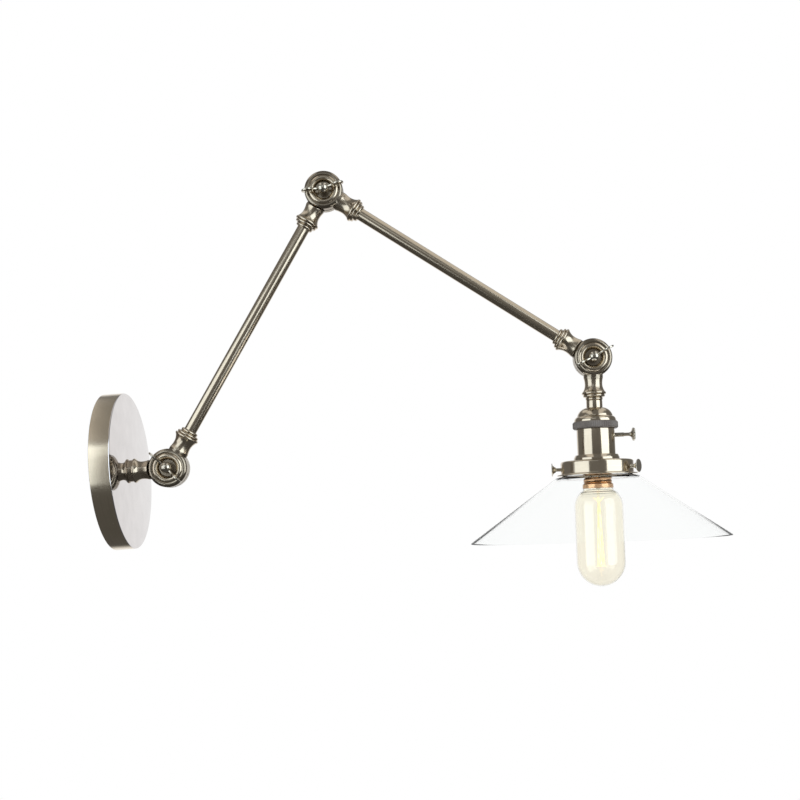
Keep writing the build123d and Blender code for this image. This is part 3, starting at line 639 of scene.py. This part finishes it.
# ---- outlines of the repeated castings
def knuckle_outline(bore_r):
    """Half a knuckle: radius against height from its mid-plane."""
    chamber_in, chamber_out, chamber_depth = CHAMBER
    wall_top = (KNUCKLE_R, KNUCKLE_WALL)
    return [
        (bore_r, HALF_GAP),
        (chamber_in, HALF_GAP),
        (chamber_in, chamber_depth),
        (chamber_out, chamber_depth),
        (chamber_out, HALF_GAP),
        (KNUCKLE_R - 0.4, HALF_GAP),
        (KNUCKLE_R, HALF_GAP + 0.4),
        wall_top,
        *arc_from(wall_top, (0, 1), KNUCKLE_RIM_TOP, 12),
        KNUCKLE_RING_START,
        *arc_via(KNUCKLE_RING_START, KNUCKLE_RING_CREST, KNUCKLE_RING_STOP, 16),
        (RECESS_R, RECESS_FLOOR + 0.4),
        (RECESS_R - 0.4, RECESS_FLOOR),
        (bore_r, RECESS_FLOOR),
    ]


def neck_outline(bead_end, foot, bore_r, bore_floor):
    """Neck with its bead, from inside the knuckle outwards, with the socket bored in its end."""
    start = KNUCKLE_R - 3.5
    root = (NECK_ROOT_R, KNUCKLE_R + SWING_GAP)
    bead_start = (BEAD_FOOT_R, bead_end - BEAD_WIDTH)
    bead_stop = (BEAD_FOOT_R, bead_end)
    down_to_root = arc_from(NECK_WAIST, (0, -1), root, 8)
    points = [
        (0, start),
        (NECK_ROOT_R, start),
        *reversed(down_to_root),
        NECK_WAIST,
        *arc_from(NECK_WAIST, (0, 1), bead_start, 12),
        *arc_via(bead_start, (BEAD_R, bead_end - BEAD_WIDTH / 2), bead_stop, 10),
    ]
    end = bead_end + foot
    if foot:
        points += [(STUB_FOOT_R, bead_end + 0.15), (STUB_FOOT_R, end)]
    return points + [(bore_r, end), (bore_r, bore_floor), (0, bore_floor)]


def knuckle_casting(name, side, screw_bore_r, bead_end, foot, socket_r, socket_start):
    """Neck and half knuckle as one solid. side is 1 for the half that faces the wing screw."""
    to_half = Matrix(((0, side, 0, 0), (0, 0, side, 0), (1, 0, 0, 0), (0, 0, 0, 1)))
    neck = object_from(turned_bmesh(neck_outline(bead_end, foot, socket_r, socket_start), 96), name)
    room = sleeve(0, KNUCKLE_R + SWING_GAP, HALF_GAP, -2 * NECK_ROOT_R)
    combine(neck, object_from(turned_bmesh(room, 160, to_half), "swing room"), "DIFFERENCE")
    half = object_from(turned_bmesh(knuckle_outline(screw_bore_r), 160, to_half), "half knuckle")
    combine(neck, half, "UNION")
    return neck


def collar_outline(bore_r):
    """Stepped ring with a large and a small bead."""
    bead_start = (9.5, NECK_END + 0.2)
    bead_stop = (9.5, NECK_END + 2.4)
    tip_start = (7.6, COLLAR_END - 2.3)
    tip_stop = (6.9, COLLAR_END - 0.1)
    return [
        (bore_r, NECK_END),
        (9.4, NECK_END),
        bead_start,
        *arc_via(bead_start, (10.1, NECK_END + 1.3), bead_stop, 10),
        *arc_from(bead_stop, (-1, 0.15), tip_start, 6),
        *arc_via(tip_start, (7.9, COLLAR_END - 1.15), tip_stop, 8),
        (6.8, COLLAR_END),
        (bore_r, COLLAR_END),
    ]


def on_head(name, points, node, slot="brass", segments=128, radius_at=None):
    """A turned piece of the head, in its slot's own finish."""
    return turned(name, points, (head_line, "head", slot, node, finishes()[slot]), segments, radius_at)


# ---- operators
class LampOperator:
    """What the lamp's operators share."""

    bl_options = {"REGISTER", "UNDO"}


class DrawWallPlate(LampOperator, bpy.types.Operator):
    """Spin the round wall plate, with a polished face and a brushed rim"""

    bl_idname = "wall_lamp.wall_plate"
    bl_label = "Wall plate"

    def execute(self, context):
        inner_r = PLATE_R - PLATE_WALL
        inside = PLATE_DEPTH - PLATE_WALL
        points = eased([
            (NIPPLE_R, inside),
            (inner_r, inside, 0.6),
            (inner_r, 0.1),
            (inner_r + 0.1, 0),
            (PLATE_R - 0.25, 0, 0.2),
            (PLATE_R, 0.25),
            (PLATE_R, PLATE_DEPTH, PLATE_CORNER),
            (NIPPLE_R, PLATE_DEPTH),
        ])
        finish = finishes()
        pan = turned(
            "plate_pan", points,
            (wall_line, "base", "plate_brass", "back_plate", finish["plate_brass"], finish["rim"]), 256,
        )
        for face in pan.data.polygons:
            if (PLATE_R - 0.4) * MM < face.center.xy.length and face.center.z < (PLATE_DEPTH - 0.5) * MM:
                face.material_index = 1
        return {"FINISHED"}


class DrawCastings(LampOperator, bpy.types.Operator):
    """Cast necks with half knuckles for the stub, both arms and the head"""

    bl_idname = "wall_lamp.castings"
    bl_label = "Knuckle castings"

    def execute(self, context):
        finish = finishes()
        plan = (
            ("stub_casting", "wall_stub", stub_line, "base", -1),
            ("lower_arm_front_casting", "lower_arm_shoulder_end", lower_line, "lower_arm", 1),
            ("lower_arm_rear_casting", "lower_arm_elbow_end", lower_end_line, "lower_arm", -1),
            ("upper_arm_front_casting", "upper_arm_elbow_end", upper_line, "upper_arm", 1),
            ("upper_arm_rear_casting", "upper_arm_head_end", upper_end_line, "upper_arm", -1),
            ("head_casting", "head_knuckle", head_line, "head", 1),
        )
        for name, node, line, body, side in plan:
            on_nipple = node in ("wall_stub", "head_knuckle")
            piece = knuckle_casting(
                name,
                side,
                SWING_BORE_R if side > 0 else NUT_BORE_R,
                STUB_LENGTH - STUB_FOOT if node == "wall_stub" else NECK_END,
                STUB_FOOT if node == "wall_stub" else 0,
                NIPPLE_R if on_nipple else TUBE_R,
                NIPPLE_SOCKET_START if on_nipple else SOCKET_START,
            )
            seat_mesh(piece, line, body, "brass", node, finish["cast"], finish["knuckle"], finish["ring"])
            # Knuckle faces take the darker copy of the brass as painted shade; the raised ring keeps the full
            # brass.
            for face in piece.data.polygons:
                if face.center.z < KNUCKLE_R * MM:
                    face.material_index = 1
                on_ring = RECESS_R * MM < face.center.xz.length < KNUCKLE_RING_START[0] * MM
                if on_ring and abs(face.center.y) > KNUCKLE_RING_FOOT * MM:
                    face.material_index = 2
        return {"FINISHED"}


class DrawTubes(LampOperator, bpy.types.Operator):
    """Draw both arm tubes and the stepped collars at their ends"""

    bl_idname = "wall_lamp.tubes"
    bl_label = "Tubes and collars"

    def execute(self, context):
        tube = sleeve(TUBE_R - TUBE_WALL, TUBE_R, SOCKET_START, ARM_LENGTH - SOCKET_START)
        arms = (("lower_arm", lower_line, lower_end_line), ("upper_arm", upper_line, upper_end_line))
        for body, near, far in arms:
            place_and_finish = (near, body, "brass", f"{body}_tube", finishes()["tube"])
            turned(f"{body}_drawn_tube", tube, place_and_finish, 96)
            for place, line in (("inner", near), ("outer", far)):
                turned(
                    f"{body}_{place}_ring", collar_outline(TUBE_R),
                    (line, body, "brass", f"{body}_{place}_collar", finishes()["brass"]),
                )
        on_head("head_ring", collar_outline(NIPPLE_R), "head_collar")
        return {"FINISHED"}


class DrawHolder(LampOperator, bpy.types.Operator):
    """Turn the lamp holder: coupler, domed cap, ribbed ring, barrel and bevelled ring"""

    bl_idname = "wall_lamp.holder"
    bl_label = "Lamp holder"

    def execute(self, context):
        wall = eased(sleeve(NIPPLE_R, COUPLER_R, COLLAR_END, COUPLER_END, 0.3))
        on_head("holder_coupler", wall, "head_coupler")
        self.dome()
        self.ribbed_ring(context.scene.wall_lamp_detail)
        self.barrel()
        lip = eased([
            (SKIRT_R, BARREL_END),
            (BEVELLED_R - 1.2, BARREL_END, 0.2),
            (BEVELLED_R, GALLERY_TOP - 2.4, 0.25),
            (BEVELLED_R, GALLERY_TOP, 0.25),
            (SKIRT_R, GALLERY_TOP),
        ])
        on_head("holder_bevelled_ring", lip, "shade_ring", segments=160)
        return {"FINISHED"}

    def dome(self):
        """Domed cap, hollow, with a flange over the ribbed ring."""
        wall = 1.0
        cap = [
            (NIPPLE_R, COUPLER_END),
            (9.0, COUPLER_END),
            *arc_from((9.0, COUPLER_END), (1, 0.25), (DOME_R, DOME_END), 16),
            (DOME_R + 0.4, DOME_END + 0.3),
            (DOME_R + 1.2, DOME_END + 0.6),
            *arc_from((DOME_R + 1.2, DOME_END + 0.6), (1, 0.9), (FLANGE_R, CAP_END - 0.8), 6),
            (FLANGE_R, CAP_END),
            (BARREL_INNER_R, CAP_END),
            (DOME_R - wall, DOME_END + 0.6),
            *reversed(arc_from((8.4, COUPLER_END + wall), (1, 0.25), (DOME_R - wall, DOME_END), 16)),
            (8.0, COUPLER_END + wall),
            (NIPPLE_R, COUPLER_END + wall),
        ]
        on_head("holder_dome", cap, "holder_cap", segments=160)

    def ribbed_ring(self, detail):
        """Insulating ring with ribs round it."""
        ribs, depth = detail.ring_ribs, detail.ring_rib_depth / MM

        def ribbed(radius, height, angle):
            if radius < RIBBED_R - 0.7:
                return radius
            return radius - depth * (0.5 - 0.5 * cos(angle * ribs)) ** 0.7

        ring = [
            (BARREL_INNER_R, CAP_END),
            (RIBBED_R - 0.9, CAP_END),
            (RIBBED_R - 0.5, CAP_END + 0.4),
            (RIBBED_R, CAP_END + 1.1),
            (RIBBED_R, RING_END - 1.1),
            (RIBBED_R - 0.5, RING_END - 0.4),
            (RIBBED_R - 0.9, RING_END),
            (BARREL_INNER_R, RING_END),
        ]
        on_head("holder_ribbed_ring", ring, "holder_ring", "insulator", ribs * 8, ribbed)

    def barrel(self):
        """Barrel with the round hole that the switch stem comes through."""
        wall = eased(sleeve(BARREL_INNER_R, BARREL_R, RING_END, BARREL_END, 0.3))
        piece = object_from(turned_bmesh(wall, 192), "holder_shell_barrel")
        drill(piece, knob_line, STEM_HOLE_R, 0, 30, 48)
        seat_mesh(piece, head_line, "head", "brass", "holder_barrel", finishes()["brass"])


class DrawGallery(LampOperator, bpy.types.Operator):
    """Spin the gallery that carries the glass, with its three threaded holes"""

    bl_idname = "wall_lamp.gallery"
    bl_label = "Gallery"

    def execute(self, context):
        under_top = GALLERY_TOP + GALLERY_WALL
        wall = eased([
            (SKIRT_R, GALLERY_TOP),
            (GALLERY_R, GALLERY_TOP, 2.0),
            (GALLERY_R, GALLERY_END - GALLERY_WALL, 1.2),
            (GALLERY_RIM_R, GALLERY_END - GALLERY_WALL, 0.4),
            (GALLERY_RIM_R, GALLERY_END, 0.4),
            (GALLERY_R - GALLERY_WALL, GALLERY_END, 0.35),
            (GALLERY_R - GALLERY_WALL, under_top, 1.2),
            (SKIRT_R, under_top),
        ], 6)
        piece = object_from(turned_bmesh(wall, 256), "gallery_cup")
        for line in thumb_screw_lines.values():
            drill(piece, line, THUMB_HOLE_R, 20, 40, 40)
        seat_mesh(piece, head_line, "head", "brass", "gallery", finishes()["brass"])
        nut = eased([
            (SKIRT_R, under_top),
            (LOCK_RING_R, under_top, 0.3),
            (LOCK_RING_R, under_top + 4, 0.5),
            (SKIRT_R, under_top + 4),
        ])
        on_head("gallery_lock_ring", nut, "gallery_nut")
        return {"FINISHED"}


def threaded(pitch, depth, start, end, radius):
    """Radius of a thread cut between two heights and run out at both ends."""

    def radius_at(reach, height, angle):
        if abs(reach - radius) > 1e-6 or not start < height < end:
            return reach
        fade = min(1.0, (height - start) / pitch, (end - height) / pitch)
        phase = height / pitch - angle / tau
        return reach - depth * fade * (0.5 - 0.5 * cos(phase * tau))

    return radius_at


def rod_heights(start, end, pitch, per_turn=8):
    """Heights of the rings along a threaded stretch."""
    count = int((end - start) / pitch * per_turn) + 1
    return [start + (end - start) * step / count for step in range(count + 1)]


class DrawThumbScrews(LampOperator, bpy.types.Operator):
    """Turn the shade's three thumb screws and the switch's knob"""

    bl_idname = "wall_lamp.thumb_screws"
    bl_label = "Thumb screws and knob"

    def execute(self, context):
        detail = context.scene.wall_lamp_detail
        pitch = detail.screw_pitch / MM
        for node, line in thumb_screw_lines.items():
            points = [
                (0, 31.1),
                (1.3, 31.1),
                *((THUMB_SCREW_R, height) for height in rod_heights(31.5, 37.9, pitch)),
                (THUMB_SCREW_R, 38.2),
                (2.4, 38.3),
                *arc_from((2.5, 38.4), (0.3, 1), (5.9, 41.3), 8),
                (THUMB_R, 41.5),
                (THUMB_R, 41.8),
                (5.85, 41.95),
                *arc_from((5.85, 41.95), (-1, 0.08), (0, 42.15), 6),
            ]
            cut = threaded(pitch, 0.28, 31.4, 38.0, THUMB_SCREW_R)
            self.knurled(detail, points, line, node, THUMB_R, cut)
        knob = [
            (0, 6.1),
            (1.45, 6.1),
            (1.45, 16.8),
            (1.95, 16.8),
            (1.95, 26.0),
            (1.6, 26.5),
            (1.6, 30.6),
            *arc_from((1.6, 30.6), (0, 1), (4.2, 33.45), 6),
            (5.7, 34.1),
            (KNOB_R, 34.4),
            (KNOB_R, 35.8),
            (5.6, 36.2),
            *arc_from((5.6, 36.2), (-1, 0.14), (0, 36.6), 6),
        ]
        self.knurled(detail, knob, knob_line, "switch_knob", KNOB_R)
        return {"FINISHED"}

    def knurled(self, detail, points, line, node, rim_r, cut=None):
        """Turned screw whose rim has straight knurls. cut shapes its thread."""
        knurls, depth = detail.knurls, detail.knurl_depth / MM

        def radius_at(radius, height, angle):
            if abs(radius - rim_r) < 1e-6:
                return radius - depth * (0.5 - 0.5 * cos(angle * knurls))
            return cut(radius, height, angle) if cut else radius

        place = (line, node, "brass", node, finishes()["screw"])
        turned(f"{node}_turned", points, place, knurls * 6, radius_at)


class DrawWingScrews(LampOperator, bpy.types.Operator):
    """Shape the wing screws that clamp the knuckles"""

    bl_idname = "wall_lamp.wing_screws"
    bl_label = "Wing screws"

    def execute(self, context):
        detail = context.scene.wall_lamp_detail
        pitch = detail.screw_pitch / MM
        for place, pivot in (("shoulder", shoulder), ("elbow", elbow), ("head", head_pivot)):
            node = f"{place}_wing_screw"
            line = Centreline(pivot, WINGS, self.span_direction(node, pivot))
            points = [
                (0, -11.0),
                (2.0, -11.0),
                *((WING_SCREW_R, height) for height in rod_heights(-10.4, 6.0, pitch)),
                (HUB_R - 0.4, 6.1),
                (HUB_R, 6.5),
                (HUB_R, 13.6),
                *arc_from((HUB_R, 13.6), (-0.02, 1), (0, 18.1), 12),
            ]
            hub = turned_bmesh(points, 72, radius_at=threaded(pitch, 0.3, -10.5, 6.05, WING_SCREW_R))
            piece = object_from(hub, f"{node}_hub")
            for turn in (0, pi):
                combine(piece, self.wing(turn, detail.wing_bevel), "UNION")
            seat_mesh(piece, line, node, "brass", node, finishes()["screw"])
        return {"FINISHED"}

    def span_direction(self, node, pivot):
        """Direction in which the CAD screw's wings point, from the far corner of its box."""
        mesh = frame["nodes"][node].data
        far = max((v.co - pivot for v in mesh.vertices), key=lambda reach: reach.x**2 + reach.z**2)
        return Vector((far.x, 0, far.z))

    def wing(self, turn, bevel):
        """One flat wing with rounded edges."""
        ear = Vector((14.4, 16.6))
        ear_r = 5.3
        leave = radians(150)
        inner = ear + Vector((cos(leave), sin(leave))) * ear_r
        points = [
            (1.0, 11.3),
            (ear.x, 11.3),
            *arc_from((ear.x, 11.3), (1, 0), tuple(inner), 24),
            *arc_from(tuple(inner), (-sin(leave), cos(leave)), (4.4, 15.75), 8),
            (1.0, 15.9),
        ]
        bm = bmesh.new()
        half = WING_HALF * MM
        face = bm.faces.new([bm.verts.new((x * MM, -half, z * MM)) for x, z in points])
        grown = bmesh.ops.extrude_face_region(bm, geom=[face])["geom"]
        shift = Vector((0, 2 * half, 0))
        bmesh.ops.translate(bm, vec=shift, verts=[v for v in grown if isinstance(v, bmesh.types.BMVert)])
        bmesh.ops.recalc_face_normals(bm, faces=bm.faces)
        rims = [edge for edge in bm.edges if abs(edge.verts[0].co.y - edge.verts[1].co.y) < half]
        bmesh.ops.bevel(bm, geom=rims, offset=bevel, segments=3, profile=0.5, affect="EDGES")
        bmesh.ops.transform(bm, matrix=Matrix.Rotation(turn, 4, "Z"), verts=bm.verts)
        return object_from(bm, "wing")


class DrawGlassShade(LampOperator, bpy.types.Operator):
    """Press the flat-cone glass shade"""

    bl_idname = "wall_lamp.glass_shade"
    bl_label = "Glass shade"

    def execute(self, context):
        top = GALLERY_TOP + GALLERY_WALL
        outline = [
            (SHADE_NECK_R - SHADE_WALL, top, 1.2),
            (SHADE_LIP_R, top, 1.0),
            (SHADE_LIP_R, top + 3.4, 0.8),
            (SHADE_NECK_R, top + 4.4, 1.0),
            (SHADE_NECK_R, SHADE_CORNER - 1.2, 2.4),
            (38.3, SHADE_CORNER + 0.2, 4.0),
            (SHADE_R, SHADE_END - 1.2, 0.5),
            (SHADE_R - 0.6, SHADE_END - 0.4, 0.5),
            (37.4, SHADE_CORNER + 1.7, 3.0),
            (SHADE_NECK_R - SHADE_WALL, SHADE_CORNER + 1.4, 2.6),
        ]
        finish = finishes()
        shade = turned(
            "shade_cone", eased(outline, 7),
            (head_line, "head", "shade_glass", "glass_shade", finish["shade_glass"], finish["neck_glass"]),
            256,
        )
        for face in shade.data.polygons:
            if face.center.z < (SHADE_CORNER + 2.2) * MM:
                face.material_index = 1
        return {"FINISHED"}


class DrawBulb(LampOperator, bpy.types.Operator):
    """Blow the tubular bulb and roll the thread of its cap"""

    bl_idname = "wall_lamp.bulb"
    bl_label = "Bulb"

    cap_start = CONTACT + 1.6 + 3.9
    cap_end = cap_start + 20.0
    neck_r = 12.4
    neck_sunk = 7.0
    thread_r = 13.2
    bulb_r = 22.4
    glass_wall = 0.8
    shoulder_end = cap_end + 16.5
    stem_length = 30.0
    cage_length = 49.0
    wire_r = 0.17

    def execute(self, context):
        self.glass()
        self.cap(context.scene.wall_lamp_detail.lamp_pitch / MM)
        self.filament()
        return {"FINISHED"}

    def glass(self):
        """Glass bulb as one thin closed shell, open at its neck."""
        neck = (self.neck_r + 1.3, self.cap_end + 0.1)
        flare = (self.neck_r + 4.0, self.cap_end + 3.2)
        shoulder_top = (self.bulb_r, self.shoulder_end)
        round_start = BULB_TIP - self.bulb_r
        outside = [
            neck,
            *arc_from(neck, (0, 1), flare, 8),
            *arc_from(shoulder_top, (0, -1), flare, 20)[-2::-1],
            shoulder_top,
            (self.bulb_r, round_start),
            *arc_from((self.bulb_r, round_start), (0, 1), (0, BULB_TIP), 28),
        ]
        inner_r = self.bulb_r - self.glass_wall
        inside_neck = (self.neck_r + 0.5, self.cap_end + 0.9)
        inside_flare = (self.neck_r + 3.4, self.cap_end + 4.0)
        inside = [
            *arc_from((inner_r, round_start), (0, 1), (0, BULB_TIP - self.glass_wall), 28)[::-1],
            (inner_r, round_start),
            (inner_r, self.shoulder_end),
            *arc_from((inner_r, self.shoulder_end), (0, -1), inside_flare, 20),
            *arc_from(inside_neck, (0, 1), inside_flare, 8)[-2::-1],
            inside_neck,
            (10.6, self.cap_end + 0.9),
            (10.6, self.cap_end - self.neck_sunk),
            (11.4, self.cap_end - self.neck_sunk),
            (11.4, self.cap_end + 0.1),
        ]
        on_head("bulb_envelope", outside + inside, "bulb_glass", "bulb_glass")

    def cap(self, pitch):
        """Screw cap with a rolled thread and a flared skirt."""
        start = self.cap_start
        thread_end = start + 14.4
        heights = rod_heights(start + 1.8, thread_end, pitch, 20)
        points = [
            (0, start),
            (11.0, start),
            *arc_from((11.0, start), (1, 0.1), (12.6, start + 1.6), 5),
            *((self.thread_r, height) for height in heights),
            (12.6, thread_end + 0.7),
            (14.1, thread_end + 1.9),
            (14.3, self.cap_end - 0.8),
            (14.1, self.cap_end),
            (11.6, self.cap_end),
            (11.6, start + 2),
            (0, start + 2),
        ]
        cut = threaded(pitch, 1.15, start + 1.7, thread_end + 0.1, self.thread_r)
        on_head("bulb_screw_cap", points, "bulb_cap", "contact_brass", radius_at=cut)

    def filament(self):
        """Cage of glowing wire, hung between two rings of hooks."""
        stem_end = self.cap_end - self.neck_sunk + self.stem_length
        cage_end = stem_end + self.cage_length
        wires = bpy.data.curves.new("filament_cage", "CURVE")
        wires.dimensions = "3D"
        wires.bevel_depth = self.wire_r * MM
        wires.bevel_resolution = 2

        def strand(corners, material):
            spline = wires.splines.new("POLY")
            spline.points.add(len(corners) - 1)
            spline.material_index = material
            for point, corner in zip(spline.points, corners):
                point.co = (*(Vector(corner) * MM), 1)

        def around(radius, angle, height):
            return (radius * cos(angle), radius * sin(angle), height)

        zigzag = []
        for turn in range(8):
            ends = [around(1.0, tau * turn / 8, stem_end + 2), around(3.0, tau * turn / 8, cage_end)]
            zigzag += ends if turn % 2 == 0 else ends[::-1]
        strand(zigzag, 0)
        for turn in range(4):
            angle = tau * turn / 4 + 0.3
            foot, tip = around(4.6, angle, stem_end - 15), around(4.4, angle, cage_end)
            strand([foot, (0, 0, stem_end - 10.5), around(1.0, angle, stem_end + 1.6)], 1)
            strand([(0, 0, cage_end - 3), around(3.0, angle, cage_end + 0.2), tip], 1)
        strand([(0, 0, stem_end - 11), (0, 0, cage_end - 2)], 1)
        cage = new_object("filament_cage", wires)
        seat(cage, head_line, "head", "filament", "filament", finishes()["filament"], finishes()["steel"])


class FinishFittings(LampOperator, bpy.types.Operator):
    """Give the fittings inside the lamp their materials"""

    bl_idname = "wall_lamp.fittings"
    bl_label = "Inner fittings"

    def execute(self, context):
        for subpart in frame["record"]["subparts"]:
            node = frame["nodes"][subpart["node"]]
            node.data.materials.clear()
            node.data.materials.append(finishes()[subpart["material_slot"]])
        return {"FINISHED"}


class SetStage(LampOperator, bpy.types.Operator):
    """Set up the pale studio, its soft lights and the camera"""

    bl_idname = "wall_lamp.stage"
    bl_label = "Studio"

    # Place, width and height in metres, and power in watts. They give the holder its two bright stripes.
    softboxes = {
        "Left softbox": ((-0.51, -0.611, 0.14), 1.04, 1.0, 5.9),
        "Right softbox": ((2.083, -1.4, 0.4), 2.14, 2.3, 39.0),
        "Front softbox": ((0.15, -1.15, 0.62), 0.5, 0.4, 0.3),
    }

    def execute(self, context):
        studio = context.scene.wall_lamp_studio
        self.surround(context.scene, studio.surround)
        self.floor(studio.floor_height)
        for name, (place, width, height, power) in self.softboxes.items():
            self.softbox(name, Vector(place), width, height, power)
        self.camera(context.scene, studio)
        context.scene.view_settings.view_transform = "Standard"
        return {"FINISHED"}

    def surround(self, scene, colour):
        """White where it is seen directly or through glass. Metal mirrors a dim room around the lamp."""
        scene.world = bpy.data.worlds.new("Pale studio")
        sky = NodeLayout(scene.world)
        sky.tree.nodes.clear()

        def background(strength):
            node = sky.add("ShaderNodeBackground")
            node.inputs["Color"].default_value = (*colour, 1)
            if isinstance(strength, float):
                node.inputs["Strength"].default_value = strength
            else:
                sky.link(strength, node.inputs["Strength"])
            return node.outputs[0]

        def maths(operation, *sources):
            node = sky.add("ShaderNodeMath", operation=operation)
            for socket, source in zip(node.inputs, sources):
                sky.link(source, socket)
            return node.outputs[0]

        towards = sky.add("ShaderNodeSeparateXYZ").outputs
        sky.link(sky.add("ShaderNodeTexCoord").outputs["Generated"], towards[0].node.inputs[0])
        white_behind = sky.spread(towards["Y"], 0.0, 0.96, 0.74, 0.9)
        dim_room = sky.spread(towards["Z"], 0.09, 0.21, -0.5, 0.1)
        aside = maths("ABSOLUTE", towards["X"])
        between = maths("MULTIPLY", sky.spread(aside, 0, 1, 0.24, 0.32), sky.spread(aside, 1, 0, 0.6, 0.7))
        ceiling = maths("MULTIPLY", between, sky.spread(towards["Z"], 0.0, 0.9, 0.55, 0.7))
        mirrored = maths("MAXIMUM", maths("MAXIMUM", white_behind, ceiling), dim_room)
        path = sky.add("ShaderNodeLightPath").outputs
        seen = maths("MAXIMUM", path["Is Camera Ray"], path["Transmission Depth"])
        unseen = sky.chosen(path["Is Diffuse Ray"], background(mirrored), background(0.8))
        output = sky.add("ShaderNodeOutputWorld")
        sky.link(sky.chosen(seen, unseen, background(1.0)), output.inputs["Surface"])

    def floor(self, height):
        """Large pale disc well below the lamp."""
        bm = bmesh.new()
        bmesh.ops.create_circle(bm, cap_ends=True, segments=128, radius=2.2)
        floor = object_from(bm, "studio_floor")
        floor.location = (0.28, 0, height)
        finish = Finish("Pale floor")
        cloud = finish.noise((3, 3, 3), detail=2)
        tone = finish.blend(cloud, (0.93, 0.93, 0.93), (0.96, 0.96, 0.96))
        finish.link(tone, finish.shader.inputs["Base Color"])
        finish.set(Roughness=0.9)
        floor.data.materials.append(finish.material)
        floor.visible_glossy = False

    def softbox(self, name, place, width, height, power):
        """Rectangular soft light that faces the point below the head's pivot, level with the plate."""
        data = bpy.data.lights.new(name, "AREA")
        data.shape = "RECTANGLE"
        data.size, data.size_y = width, height
        data.energy = power
        data.color = (0.8, 0.9, 1.0)
        light = new_object(name, data)
        light.location = place
        light.rotation_euler = (place - Vector((head_pivot.x, 0, 0))).to_track_quat("Z", "Y").to_euler()

    def camera(self, scene, studio):
        """The photograph's viewpoint."""
        data = bpy.data.cameras.new("Camera")
        data.lens = studio.lens
        data.sensor_width = 36.0
        data.shift_x, data.shift_y = studio.shift
        data.clip_start, data.clip_end = 0.01, 50
        scene.camera = new_object("Camera", data)
        scene.camera.location = studio.camera
        scene.camera.rotation_euler = studio.camera_turn


class WallLampPanel(bpy.types.Panel):
    """Lists the lamp's pieces and settings"""

    bl_idname = "VIEW3D_PT_wall_lamp"
    bl_label = "Articulating wall lamp"
    bl_space_type = "VIEW_3D"
    bl_region_type = "UI"
    bl_category = "Wall Lamp"

    def draw(self, context):
        layout = self.layout
        for operator in PIECES:
            layout.operator(operator.bl_idname)
        for name in SETTINGS:
            box = layout.box()
            settings = getattr(context.scene, name)
            for key in settings.bl_rna.properties.keys():
                if key not in ("rna_type", "name"):
                    box.prop(settings, key)


PIECES = (
    FinishFittings,
    DrawWallPlate,
    DrawCastings,
    DrawTubes,
    DrawHolder,
    DrawGallery,
    DrawThumbScrews,
    DrawWingScrews,
    DrawGlassShade,
    DrawBulb,
    SetStage,
)
SETTINGS = {
    "wall_lamp_finish": WallLampFinish,
    "wall_lamp_detail": WallLampDetail,
    "wall_lamp_studio": WallLampStudio,
}


def register():
    for name, group in SETTINGS.items():
        bpy.utils.register_class(group)
        setattr(bpy.types.Scene, name, PointerProperty(type=group))
    for operator in PIECES:
        bpy.utils.register_class(operator)
    bpy.utils.register_class(WallLampPanel)


def unregister():
    bpy.utils.unregister_class(WallLampPanel)
    for operator in reversed(PIECES):
        bpy.utils.unregister_class(operator)
    for name, group in SETTINGS.items():
        delattr(bpy.types.Scene, name)
        bpy.utils.unregister_class(group)


def main():
    register()
    for operator in PIECES:
        group, call = operator.bl_idname.split(".")
        getattr(getattr(bpy.ops, group), call)()


if __name__ == "__main__":
    main()
